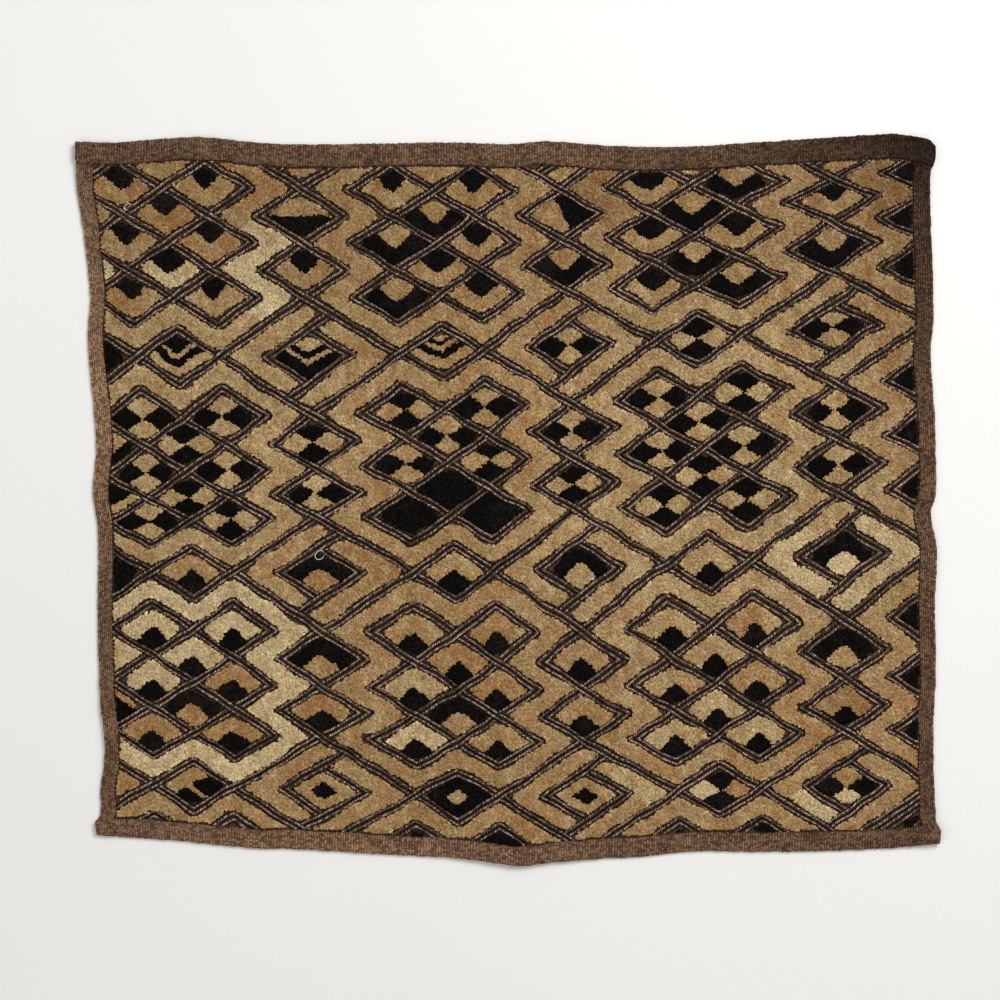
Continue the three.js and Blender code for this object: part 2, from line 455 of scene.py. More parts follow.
def plan_point(p, q):
    """The plan position of fractions p across and q up, inside the four edges."""
    p_share = p[..., None]
    q_share = q[..., None]
    ends = edge_share("bottom", p) * (1 - q_share) + edge_share("top", p) * q_share
    sides = edge_share("left", q) * (1 - p_share) + edge_share("right", q) * p_share
    lower = EDGES["bottom"][0] * (1 - p_share) + EDGES["bottom"][-1] * p_share
    upper = EDGES["top"][0] * (1 - p_share) + EDGES["top"][-1] * p_share
    return ends + sides - (lower * (1 - q_share) + upper * q_share)


# Rows and columns added on every side of the tables of places
ROWS_ADDED = 2


def widened(table):
    """A table of places with more rows and columns on every side, going straight on."""
    for _ in range(ROWS_ADDED):
        for _ in range(2):
            table = np.vstack([2 * table[:1] - table[1:2], table, 2 * table[-1:] - table[-2:-1]]).T
    return table


WIDE_X = widened(PLACES_X)
WIDE_Y = widened(PLACES_Y)

# The pattern closes up past the upper right corner, by this much in x and y
CORNER_PULL = (7, -9)
WIDE_X[:ROWS_ADDED, -1 - ROWS_ADDED :] += CORNER_PULL[0]
WIDE_Y[:ROWS_ADDED, -1 - ROWS_ADDED :] += CORNER_PULL[1]


def smooth_weights(at, count):
    """The first of four neighbours in a table and the weights of a smooth curve through them."""
    first = np.clip(np.floor(at).astype(int) - 1, 0, count - 4)
    share = at - first - 1
    weights = (
        -0.5 * share + share**2 - 0.5 * share**3,
        1 - 2.5 * share**2 + 1.5 * share**3,
        0.5 * share + 2 * share**2 - 1.5 * share**3,
        -0.5 * share**2 + 0.5 * share**3,
    )
    return first, weights


def cloth_place(s, t):
    """The place on the cloth of chart column s and row t."""
    rows, columns = WIDE_X.shape
    at_row = np.clip(t / PLACE_STEP + ROWS_ADDED, 0.2, rows - 1.2)
    at_column = np.clip(s / PLACE_STEP + ROWS_ADDED, 0.2, columns - 1.2)
    first_row, row_weights = smooth_weights(at_row, rows)
    first_column, column_weights = smooth_weights(at_column, columns)
    x = np.zeros(np.broadcast(s, t).shape)
    y = np.zeros_like(x)
    for j, row_weight in enumerate(row_weights):
        for i, column_weight in enumerate(column_weights):
            weight = row_weight * column_weight
            x = x + weight * WIDE_X[first_row + j, first_column + i]
            y = y + weight * WIDE_Y[first_row + j, first_column + i]
    waver_x = uneven(x, y, 0, (0.45, 60, 1), (0.4, 24, 3))
    waver_y = uneven(x, y, 0, (0.45, 50, 2), (0.4, 21, 4))
    return x + SHIFT[0] + waver_x, y + SHIFT[1] + waver_y


def line_place(u, v):
    """The place on the cloth of chart coordinates u and v."""
    return cloth_place((u + v) / (2 * ACROSS), (u - v) / (2 * DOWN))


# Roughly where the first block's middle lies, the steps of a repeat across and down, and how many
# rounds close in from there on a place
FIRST_X = -221
FIRST_Y = 188
STEP_ACROSS = 177.0
STEP_DOWN = 152.0
CLOSING_ROUNDS = 12


def chart_place(x, y):
    """The chart coordinates u and v of a place on the cloth, by closing in on it."""
    s = (x - FIRST_X) / STEP_ACROSS
    t = (FIRST_Y - y) / STEP_DOWN
    for _ in range(CLOSING_ROUNDS):
        near_x, near_y = cloth_place(s, t)
        s = s + (x - near_x) / STEP_ACROSS
        t = t + (near_y - y) / STEP_DOWN
    return ACROSS * s + DOWN * t, ACROSS * s - DOWN * t


def repeat_shift(across, down):
    """How far a repeat's middle is from the first block's, in u and v."""
    return ACROSS * across + DOWN * down, ACROSS * across - DOWN * down


# Lines of a block: where each lies across its direction, its start and its end
BLOCK_U = ((-2, 0, 1), (-1, -1, 2), (0, -2, 2), (1, -2, 1), (2, -1, 0))
BLOCK_V = ((2, -1, 0), (1, -2, 1), (0, -2, 2), (-1, -1, 2), (-2, 0, 1))

# The repeat's other lines: direction, group, where it lies, start and end
OTHER_LINES = (
    ("u", "upper_left", 2 + BAND, -2 - BAND, 1 + BAND),
    ("u", "lower_right", 3 + 3 * BAND, -2 - BAND, 1 + BAND),
    ("v", "upper_right", BAND, 1 + BAND, 4 + 3 * BAND),
    ("v", "lower_left", -1 - BAND, 1 + BAND, 4 + 3 * BAND),
    ("u", "column", 1 + BAND, BAND, 2 + BAND),
    ("v", "column", 1 + BAND, BAND, 2 + BAND),
    ("u", "lozenge", 2 + 2 * BAND, -1, BAND),
    ("u", "lozenge", 3 + 2 * BAND, -1 - BAND, 0),
    ("v", "lozenge", 0, 2 + 2 * BAND, 3 + 2 * BAND),
    ("v", "lozenge", -1, 2 + 2 * BAND, 3 + 2 * BAND),
)


def repeat_lines():
    """Lines of one repeat: direction, group, crossing count, fixed coordinate, start and end."""
    lines = [("u", "block", place, place, start, end) for place, start, end in BLOCK_U]
    lines += [("v", "block", place, place, start, end) for place, start, end in BLOCK_V]
    return lines + [(direction, group, 0, *where) for direction, group, *where in OTHER_LINES]


def all_lines():
    """Every line of the cloth, moved to its repeat."""
    lines = []
    for across in REPEATS_ACROSS:
        for down in REPEATS_DOWN:
            move_u, move_v = repeat_shift(across, down)
            for direction, group, count, fixed, start, end in repeat_lines():
                sideways, forward = (move_u, move_v) if direction == "u" else (move_v, move_u)
                lines.append((direction, group, count, fixed + sideways, start + forward, end + forward))
    return lines + [corner_line()]


def corner_line():
    """One more line that fills the lower right corner, beside the last frame's lower side."""
    move_u, move_v = repeat_shift(2, 2)
    beside = 2 * HALF_LINE / UNIT
    return ("u", "corner", 0, 3 + 3 * BAND + move_u + beside, -2 - BAND + move_v, 1 + BAND + move_v)


def line_runs(lines):
    """Each line with how its ends meet other lines and where it dives under one.

    Gives (line, starts, ends, dives): starts and ends are ("corner", sign) where two ends meet,
    ("butt", 0) where the line stops against another and ("open", 0) elsewhere.
    """
    near = 1e-6
    crossing = {way: [line for line in lines if line[0] != way] for way in ("u", "v")}
    runs = []
    for line in lines:
        direction, group, count, fixed, start, end = line
        styles = {start: ("open", 0), end: ("open", 0)}
        dives = []
        for other in crossing[direction]:
            _, other_group, other_count, other_fixed, other_start, other_end = other
            if not start - near < other_fixed < end + near:
                continue
            if not other_start - near < fixed < other_end + near:
                continue
            at_end = min(abs(other_fixed - start), abs(other_fixed - end)) < near
            other_at_end = min(abs(fixed - other_start), abs(fixed - other_end)) < near
            if at_end:
                place = start if abs(other_fixed - start) < near else end
                if other_at_end:
                    styles[place] = ("corner", 1 if abs(fixed - other_start) < near else -1)
                else:
                    styles[place] = ("butt", 0)
            elif not other_at_end:
                pair = (group, other_group) if direction == "u" else (other_group, group)
                if pair == ("block", "block"):
                    top = "u" if (count + other_count) % 2 == 0 else "v"
                else:
                    top = ON_TOP.get(pair, "u")
                if top != direction:
                    dives.append(other_fixed)
        runs.append((line, styles[start], styles[end], dives))
    return runs


def line_distance(u, v, lines):
    """Distance in millimetres to the lines, less where two meet, so that pile rounds its corners."""
    reach = 4 * STRAW_EDGE / UNIT
    closeness = np.full(u.shape, UNIT**-CORNER_POWER)
    for direction, _, _, fixed, start, end in lines:
        off, run = (u, v) if direction == "u" else (v, u)
        sideways = np.abs(off - fixed)
        close = (sideways < reach) & (run > start - reach) & (run < end + reach)
        past = np.maximum(np.maximum(start - run[close], run[close] - end), 0)
        distance = np.hypot(UNIT * sideways[close], PAST_END * SIDE * past)
        closeness[close] += np.maximum(distance, LEAST_DISTANCE) ** -CORNER_POWER
    return closeness ** (-1 / CORNER_POWER)


# How far a motif's small lozenge reaches past the diamond's middle, and how steep its sides are
LOZENGE = {
    "v": (0.1, 1.6), "V": (0.2, 1.1), "w": (0.24, 1.3),
    "a": (0.08, 1.5), "A": (0.12, 1.15), "m": (0.22, 1.15),
}

# Half width where a lozenge's side meets the diamond's, and how blunt the lozenge's point is
LOZENGE_HALF = 0.5
LOZENGE_BLUNT = 0.35

# Half width of a black or straw eye, as a share of the diamond
BLACK_EYE = 0.43
STRAW_EYE = 0.37

# Where nested V bands begin and end, as shares of the way down the diamond
NESTED_BLACK = (0.38, 0.5, 0.7)
NESTED_STRAW = (0.41, 0.58, 0.72)
NESTED_FINE = (0.33, 0.42, 0.57, 0.75)

# Where the notches along the left hem change from black to straw
NOTCH_BAND = 2.0

# Diamonds divided in two: how far the level edge is off the middle, and how far the upright one leans
LEVEL_OFF = 0.12
UPRIGHT_LEAN = 0.25

# The split motif: where its black begins, and the middle and half width of the straw between its halves
SPLIT_FROM = -0.1
SPLIT_MIDDLE = -0.05
SPLIT_HALF = 0.13


def in_lozenge(a, b, motif):
    """True in the small lozenge at a diamond's top."""
    across = np.abs(a + b) / 2
    up = (b - a) / 2
    reach, steep = LOZENGE[motif]
    return up - steep * across * (across / LOZENGE_HALF) ** LOZENGE_BLUNT > -reach


def nested(a, b, edges):
    """Number of the nested V that a place is in, from a diamond's top."""
    return np.searchsorted(edges, np.maximum(a + 1, 1 - b) / 2)


# Where each motif has black pile: a and b run from -1 to 1 along the diamond's u and v
MOTIFS = {
    "v": lambda a, b: in_lozenge(a, b, "v"),
    "V": lambda a, b: in_lozenge(a, b, "V"),
    "w": lambda a, b: ~in_lozenge(a, b, "w"),
    "a": lambda a, b: in_lozenge(-a, -b, "a"),
    "A": lambda a, b: in_lozenge(-a, -b, "A"),
    "m": lambda a, b: ~in_lozenge(-a, -b, "m"),
    "g": lambda a, b: a * b > 0,
    "k": lambda a, b: a * b < 0,
    "s": lambda a, b: np.full(a.shape, True),
    "p": lambda a, b: np.full(a.shape, False),
    "h": lambda a, b: b < a + LEVEL_OFF,
    "l": lambda a, b: a + b + UPRIGHT_LEAN * (b - a) > 0,
    "i": lambda a, b: (a > SPLIT_FROM) & (np.abs(b - SPLIT_MIDDLE) > SPLIT_HALF),
    "e": lambda a, b: np.maximum(np.abs(a), np.abs(b)) < BLACK_EYE,
    "o": lambda a, b: np.maximum(np.abs(a), np.abs(b)) > STRAW_EYE,
    "n": lambda a, b: nested(a, b, NESTED_BLACK) % 2 == 0,
    "c": lambda a, b: nested(a, b, NESTED_STRAW) % 2 == 1,
    "f": lambda a, b: nested(a, b, NESTED_FINE) % 2 == 1,
    "d": lambda a, b: a > NOTCH_BAND,
    "q": lambda a, b: a < NOTCH_BAND,
    "j": lambda a, b: b < NOTCH_BAND,
}


def charted_diamonds():
    """Every diamond: kind, repeat, centre u and v, motif and tone."""
    diamonds = []
    for across in REPEATS_ACROSS:
        for down in REPEATS_DOWN:
            move_u, move_v = repeat_shift(across, down)
            words = CHART.get((across, down), CHART_EDGE)
            for (kind, centres), text in zip(KINDS.items(), words):
                for (centre_u, centre_v), word in zip(centres, text.split()):
                    place = (centre_u + move_u, centre_v + move_v)
                    diamonds.append((kind, (across, down), *place, word[0], int(word[1])))
    return diamonds


def pile_plan(x, y, u, v):
    """Which tufts are black, and each tuft's tone."""
    black = np.full(u.shape, False)
    tone = np.zeros(u.shape, int)
    half_inner = 0.5 - HALF_LINE / UNIT
    chance = np.random.default_rng(SEED + 8)
    rough_a = uneven(x, y, 0, (0.03, 14, 5), (0.03, 4, 9))
    rough_b = uneven(x, y, 0, (0.03, 14, 6), (0.03, 4, 10))
    diamonds = charted_diamonds()
    for patch_x, patch_y, reach, patch_tone in PATCHES:
        rough_reach = uneven(x, y, reach, (5, 24, 7))
        tone[np.hypot(x - patch_x, y - patch_y) < rough_reach] = patch_tone
    for kind, repeat, centre_u, centre_v, _, _ in diamonds:
        for band_kind, band_repeat, band_tone, where in BAND_TONES:
            if (kind, repeat) == (band_kind, band_repeat):
                off_u = u - centre_u
                off_v = v - centre_v
                around = np.maximum(np.abs(off_u), np.abs(off_v)) < 0.5 + BAND
                tone[around & where(off_u, off_v)] = band_tone
    for kind, repeat, centre_u, centre_v, motif, own_tone in diamonds:
        off_u = u - centre_u
        off_v = v - centre_v
        reach = 0.5 + BAND if repeat[0] < 0 and kind in ("column", "framed") else 0.5
        inside = (np.abs(off_u) < reach) & (np.abs(off_v) < reach)
        shift_a, shift_b = chance.normal(0, 0.04, 2)
        if not inside.any():
            continue
        a = off_u[inside] / half_inner + rough_a[inside] + shift_a
        b = off_v[inside] / half_inner + rough_b[inside] + shift_b
        black[inside] = MOTIFS[motif](a, b)
        tone[inside] = own_tone
        for second_kind, second_repeat, second_tone, where in SECOND_TONES:
            if (kind, repeat) == (second_kind, second_repeat):
                tone[inside & where(off_u, off_v)] = second_tone
    _, _, _, corner_u, corner_start, corner_end = corner_line()
    black[(u > corner_u) & (v > corner_start) & (v < corner_end)] = True
    return black, tone


def make_piece(name, points, faces, material, slot):
    """A joined mesh of all points and faces, given in millimetres, riding on the cloth's body."""
    mesh = bpy.data.meshes.new(name)
    mesh.vertices.add(len(points))
    mesh.vertices.foreach_set("co", (points * MM).astype(np.float32).ravel())
    mesh.loops.add(faces.size)
    mesh.loops.foreach_set("vertex_index", faces.astype(np.int32).ravel())
    mesh.polygons.add(len(faces))
    mesh.polygons.foreach_set("loop_start", np.arange(0, faces.size, faces.shape[1], dtype=np.int32))
    mesh.update(calc_edges=True)
    if mesh.validate():
        raise RuntimeError(f"{name} has faces that Blender had to mend")
    mesh.materials.append(material)
    piece = bpy.data.objects.new(name, mesh)
    bpy.context.scene.collection.objects.link(piece)
    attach(piece, "root")
    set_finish(piece, slot)
    return piece


def set_colours(piece, name, colours):
    """A colour attribute on the points of a piece."""
    attribute = piece.data.color_attributes.new(name, "FLOAT_COLOR", "POINT")
    values = np.ones((len(colours), 4), np.float32)
    values[:, : colours.shape[1]] = colours
    attribute.data.foreach_set("color", values.ravel())


def set_threads(piece, threads):
    """Each point's place in the weave, counted in threads."""
    attribute = piece.data.attributes.new("threads", "FLOAT_VECTOR", "POINT")
    attribute.data.foreach_set("vector", threads.astype(np.float32).ravel())


def set_bake_map(piece, flat):
    """A texture map from a flat position for each point."""
    layer = piece.data.uv_layers.new(name="OFBake")
    corner_point = np.zeros(len(piece.data.loops), np.int32)
    piece.data.loops.foreach_get("vertex_index", corner_point)
    low = flat.min(0)
    size = flat.max(0) - low
    placed = 0.004 + 0.992 * (flat - low) / size
    layer.data.foreach_set("uv", placed[corner_point].astype(np.float32).ravel())


def shade_smooth(piece):
    """Round shading over a piece's faces."""
    piece.data.polygons.foreach_set("use_smooth", np.full(len(piece.data.polygons), True))


def give(tree, socket, value):
    """Links a socket to an input, or sets the input to a plain value."""
    if isinstance(value, bpy.types.NodeSocket):
        tree.links.new(value, socket)
    else:
        socket.default_value = value


def add_node(tree, kind, values=None, **settings):
    """A node with its settings, and with sockets or plain values in its inputs."""
    made = tree.nodes.new(kind)
    for key, value in settings.items():
        setattr(made, key, value)
    for key, value in (values or {}).items():
        give(tree, made.inputs[key], value)
    return made


def calculate(tree, operation, *values):
    """The result of a maths node on sockets or plain values."""
    node = add_node(tree, "ShaderNodeMath", dict(enumerate(values)), operation=operation)
    return node.outputs["Value"]


def multiply(tree, first, second):
    """Two values multiplied."""
    return calculate(tree, "MULTIPLY", first, second)


def spread(tree, value, low, high):
    """A 0 to 1 value spread between two others."""
    node = add_node(tree, "ShaderNodeMapRange", {"Value": value, "To Min": low, "To Max": high})
    return node.outputs["Result"]


def sharpen(tree, value, low, high):
    """A value that lies between two others, spread over 0 to 1."""
    node = add_node(tree, "ShaderNodeMapRange", {"Value": value, "From Min": low, "From Max": high})
    return node.outputs["Result"]


def brighten(tree, colour, amount):
    """A colour multiplied by a value."""
    node = add_node(tree, "ShaderNodeVectorMath", {0: colour, "Scale": amount}, operation="SCALE")
    return node.outputs["Vector"]


def stretch(tree, place, scale):
    """A place multiplied along each axis."""
    node = add_node(tree, "ShaderNodeVectorMath", {0: place, 1: scale}, operation="MULTIPLY")
    return node.outputs["Vector"]


def object_place(tree):
    """The place on the object itself."""
    return add_node(tree, "ShaderNodeTexCoord").outputs["Object"]


def mix_colours(tree, first, second, share):
    """Mixes two colours, each a socket or a plain colour, by the second's share."""
    mix = add_node(tree, "ShaderNodeMix", data_type="RGBA")
    sockets = {socket.identifier: socket for socket in (*mix.inputs, *mix.outputs)}
    give(tree, sockets["Factor_Float"], share)
    for name, colour in (("A_Color", first), ("B_Color", second)):
        linked = isinstance(colour, bpy.types.NodeSocket)
        give(tree, sockets[name], colour if linked else (*colour, 1.0))
    return sockets["Result_Color"]


def split_attribute(tree, name):
    """The three channels of a colour attribute."""
    attribute = add_node(tree, "ShaderNodeAttribute", attribute_name=name)
    parts = add_node(tree, "ShaderNodeSeparateColor", {"Color": attribute.outputs["Color"]})
    return [parts.outputs[channel] for channel in ("Red", "Green", "Blue")]


def shared_group(name, inputs, outputs, fill):
    """A shader node group, made once. fill(tree, given) returns what each output takes."""
    known = bpy.data.node_groups.get(name)
    if known:
        return known
    tree = bpy.data.node_groups.new(name, "ShaderNodeTree")
    for label, kind, default in inputs:
        socket = tree.interface.new_socket(label, in_out="INPUT", socket_type=kind)
        socket.default_value = default
    for label in outputs:
        tree.interface.new_socket(label, in_out="OUTPUT", socket_type="NodeSocketFloat")
    given = tree.nodes.new("NodeGroupInput")
    result = tree.nodes.new("NodeGroupOutput")
    for label, value in zip(outputs, fill(tree, given.outputs)):
        tree.links.new(value, result.inputs[label])
    return tree


def fibre_group():
    """Fine strands of split leaf: how light each is, and its height."""

    def fill(tree, given):
        place = stretch(tree, object_place(tree), given["Scale"])
        values = {"Vector": place, "Scale": 1.0, "Detail": 3.0, "Roughness": 0.6}
        height = add_node(tree, "ShaderNodeTexNoise", values).outputs["Fac"]
        return sharpen(tree, height, 0.28, 0.72), height

    scale = ("Scale", "NodeSocketVector", (2000, 2000, 2000))
    return shared_group("Raffia fibre", [scale], ["Shade", "Height"], fill)


def age_group():
    """Slow patches where the cloth has faded."""

    def fill(tree, given):
        values = {"Vector": object_place(tree), "Scale": given["Scale"], "Detail": 4.0, "Roughness": 0.65}
        patches = add_node(tree, "ShaderNodeTexNoise", values).outputs["Fac"]
        return [sharpen(tree, patches, 0.35, 0.68)]

    return shared_group("Age", [("Scale", "NodeSocketFloat", 12.0)], ["Fade"], fill)


def weave_group():
    """Ribbed plain weave on a place counted in threads: where one lies over, and each crossing's tone."""

    def fill(tree, given):
        parts = add_node(tree, "ShaderNodeSeparateXYZ", {"Vector": given["Threads"]}).outputs
        rib_number = calculate(tree, "FLOOR", parts["X"])
        staggered = calculate(tree, "MULTIPLY_ADD", rib_number, 0.5, parts["Y"])
        rounds = []
        for place in (parts["X"], staggered):
            wave = calculate(tree, "SINE", multiply(tree, place, math.pi))
            rounds.append(calculate(tree, "ABSOLUTE", wave))
        over = multiply(tree, rounds[0], spread(tree, rounds[1], 0.35, 1.0))
        bead_number = calculate(tree, "FLOOR", staggered)
        crossing = add_node(tree, "ShaderNodeCombineXYZ", {"X": rib_number, "Y": bead_number})
        values = {"Vector": crossing.outputs["Vector"]}
        tone = add_node(tree, "ShaderNodeTexWhiteNoise", values, noise_dimensions="3D")
        return over, tone.outputs["Value"]

    threads = ("Threads", "NodeSocketVector", (0, 0, 0))
    return shared_group("Ribbed weave", [threads], ["Over", "Tone"], fill)


def place_group(tree, group, values):
    """The outputs of a group in a material, with the material's own values in its inputs."""
    return add_node(tree, "ShaderNodeGroup", values, node_tree=group).outputs


def raffia_nodes(tree, fibre_scale, age_scale):
    """The strands' shade and height, and the fading, in a material."""
    fibre = place_group(tree, fibre_group(), {"Scale": fibre_scale})
    age = place_group(tree, age_group(), {"Scale": age_scale})
    return fibre["Shade"], fibre["Height"], age["Fade"]


def weave_nodes(tree, threads):
    """Where threads lie over, and each crossing's tone, in a material."""
    weave = place_group(tree, weave_group(), {"Threads": threads})
    return weave["Over"], weave["Tone"]


def finish_material(material, colour, roughness, height, bump_distance, bump_strength, gloss):
    """Joins a colour, a roughness value and a bump height to the material's shader."""
    tree = material.node_tree
    values = {"Strength": bump_strength, "Distance": bump_distance, "Height": height}
    bump = add_node(tree, "ShaderNodeBump", values)
    shader = tree.nodes["Principled BSDF"]
    give(tree, shader.inputs["Normal"], bump.outputs["Normal"])
    give(tree, shader.inputs["Base Color"], colour)
    give(tree, shader.inputs["Roughness"], roughness)
    give(tree, shader.inputs["Specular IOR Level"], gloss)
    return material


def new_material(name):
    """A node material with its Principled shader."""
    material = bpy.data.materials.new(name)
    material.use_nodes = True
    return material, material.node_tree


# Strands a metre along each axis, and threads a metre of the ground across and up
PILE_STRANDS = (1500, 600, 500)
THREAD_STRANDS = (2300, 2300, 900)
HEM_STRANDS = (1800, 700, 900)
GROUND_STRANDS = (2200, 2200, 900)
GROUND_THREADS = (900.0, 770.0, 0.0)


def straw_pile_material(colours):
    """Undyed cut pile: gold, orange and pale tufts with fine strands."""
    material, tree = new_material("straw_pile")
    orange, pale, light = split_attribute(tree, "dye")
    shade, height, fade = raffia_nodes(tree, PILE_STRANDS, 14.0)
    warm = mix_colours(tree, colours.straw_gold, colours.straw_orange, orange)
    bleached = mix_colours(tree, warm, colours.straw_pale, pale)
    strands = multiply(tree, light, spread(tree, shade, 1.65, 2.3))
    worn = multiply(tree, strands, spread(tree, fade, 0.93, 1.05))
    colour = brighten(tree, bleached, worn)
    roughness = spread(tree, shade, 0.9, 0.7)
    return finish_material(material, colour, roughness, height, 0.0004, 0.3, gloss=0.1)


def black_pile_material(colours):
    """Black cut pile, browned in patches."""
    material, tree = new_material("black_pile")
    rust, _, light = split_attribute(tree, "dye")
    shade, height, fade = raffia_nodes(tree, PILE_STRANDS, 18.0)
    dyed = mix_colours(tree, colours.pile_black, colours.pile_rust, multiply(tree, rust, fade))
    strands = multiply(tree, light, spread(tree, shade, 1.2, 2.8))
    colour = brighten(tree, dyed, strands)
    roughness = spread(tree, shade, 0.9, 0.7)
    return finish_material(material, colour, roughness, height, 0.0004, 0.3, gloss=0.04)


def thread_material(name, base, worn_base, gloss):
    """Raffia sewing thread, its strands twisted and a little worn."""
    material, tree = new_material(name)
    _, share, light = split_attribute(tree, "dye")
    shade, height, fade = raffia_nodes(tree, THREAD_STRANDS, 22.0)
    mixed = mix_colours(tree, base, worn_base, share)
    strands = multiply(tree, light, spread(tree, shade, 1.5, 2.5))
    worn = multiply(tree, strands, spread(tree, fade, 0.85, 1.12))
    colour = brighten(tree, mixed, worn)
    roughness = spread(tree, shade, 0.85, 0.65)
    return finish_material(material, colour, roughness, height, 0.0003, 0.3, gloss)


def hem_material(colours):
    """Plain-woven raffia of the hems, its crossings light and dark, with olive and plum patches."""
    material, tree = new_material("hem_weave")
    # light carries the hem's tone with painted highlight and painted shade
    light, leaf, plum = split_attribute(tree, "wear")
    shade, _, fade = raffia_nodes(tree, HEM_STRANDS, 30.0)
    threads = add_node(tree, "ShaderNodeAttribute", attribute_name="threads")
    over, tone = weave_nodes(tree, threads.outputs["Vector"])
    faced = multiply(tree, over, spread(tree, tone, 0.5, 1.0))
    # Painted shade in the weave's hollows, where threads pass under
    woven = mix_colours(tree, colours.hem_dark, colours.hem_light, faced)
    leafy = mix_colours(tree, woven, colours.hem_olive, multiply(tree, leaf, fade))
    dyed = mix_colours(tree, leafy, colours.hem_plum, plum)
    strands = multiply(tree, light, spread(tree, shade, 0.78, 1.34))
    crossings = multiply(tree, strands, spread(tree, tone, 0.6, 1.6))
    colour = brighten(tree, dyed, crossings)
    roughness = spread(tree, shade, 0.9, 0.72)
    return finish_material(material, colour, roughness, over, 0.0004, 0.5, gloss=0.08)


def ground_material(colours):
    """Plain-woven raffia ground: over and under threads about a millimetre wide."""
    material, tree = new_material("ground_weave")
    face_shade, _, _ = split_attribute(tree, "wear")
    shade, _, fade = raffia_nodes(tree, GROUND_STRANDS, 16.0)
    over, tone = weave_nodes(tree, stretch(tree, object_place(tree), GROUND_THREADS))
    # Painted shade in the weave's hollows, where threads pass under
    woven = mix_colours(tree, colours.ground_dark, colours.ground_light, over)
    # The face's painted shade, with slow fading
    faded = multiply(tree, face_shade, spread(tree, fade, 0.8, 1.1))
    crossings = multiply(tree, spread(tree, tone, 0.7, 1.3), faded)
    strands = multiply(tree, crossings, spread(tree, shade, 0.8, 1.2))
    colour = brighten(tree, woven, strands)
    roughness = spread(tree, shade, 0.9, 0.72)
    return finish_material(material, colour, roughness, over, 0.0005, 0.6, gloss=0.08)


# A stitch has two tips, two sides and a crest. A tuft has a root, three spread points and a tip
POINTS_EACH = 5
STITCH_FACES = np.array([(0, 1, 4), (1, 2, 4), (2, 3, 4), (3, 0, 4), (0, 2, 1), (0, 3, 2)])
TUFT_FACES = np.array([(1, 2, 4), (2, 3, 4), (3, 1, 4), (0, 2, 1), (0, 3, 2), (0, 1, 3)])

# Rise of a sewn stitch's tips and sides, as shares of its crest's
SEWN_RISE = (0.1, 0.3)

# Tone of a plain stitch or tuft, so that lighter ones have room below 1
PLAIN_TONE = 0.5


def stitch_points(centre_x, centre_y, turn, length, width, base, height, rises):
    """The points of every stitch, from its middle, direction, size and height."""
    along_x, along_y = np.cos(turn), np.sin(turn)
    tip_rise, side_rise = rises
    points = np.zeros((len(centre_x), POINTS_EACH, 3))
    reach_x, reach_y = along_x * length / 2, along_y * length / 2
    half_x, half_y = -along_y * width / 2, along_x * width / 2
    for k, (move_x, move_y, rise) in enumerate((
        (-reach_x, -reach_y, tip_rise),
        (-half_x, -half_y, side_rise),
        (reach_x, reach_y, tip_rise),
        (half_x, half_y, side_rise),
        (0, 0, 1.0),
    )):
        points[:, k, 0] = centre_x + move_x
        points[:, k, 1] = centre_y + move_y
        points[:, k, 2] = base + rise * height
    return points.reshape(-1, 3)


def set_dye(piece, points, dye):
    """Gives a piece its dye, its texture map as seen from above, and round shading."""
    set_colours(piece, "dye", dye)
    set_bake_map(piece, points[:, :2])
    shade_smooth(piece)


def make_small_things(name, points, faces, dye, material, slot):
    """One joined mesh of many stitches or tufts, each with its own dye."""
    starts = POINTS_EACH * np.arange(len(dye))[:, None, None]
    all_faces = (faces[None] + starts).reshape(-1, faces.shape[1])
    piece = make_piece(name, points, all_faces, material, slot)
    set_dye(piece, points, np.repeat(dye, POINTS_EACH, axis=0))


def tube_corners(sections, ring):
    """The first corner of every quad of a tube, and the next corner round its ring."""
    i, j = np.meshgrid(np.arange(sections), np.arange(ring), indexing="ij")
    return (i * ring + j).ravel(), (i * ring + (j + 1) % ring).ravel()


# Quads of the ground across and up, how far it stays inside the outline, the height of its underside
# and the panel's mean size
GROUND_QUADS = (96, 80)
GROUND_INSET = 0.8
GROUND_LOW = 0.02
PANEL = (583, 480)

# Painted shade on the ground's face, which shows only in the gaps between stitches, tufts and hems: how
# dark it is
FACE_PAINTED_SHADE = 0.6


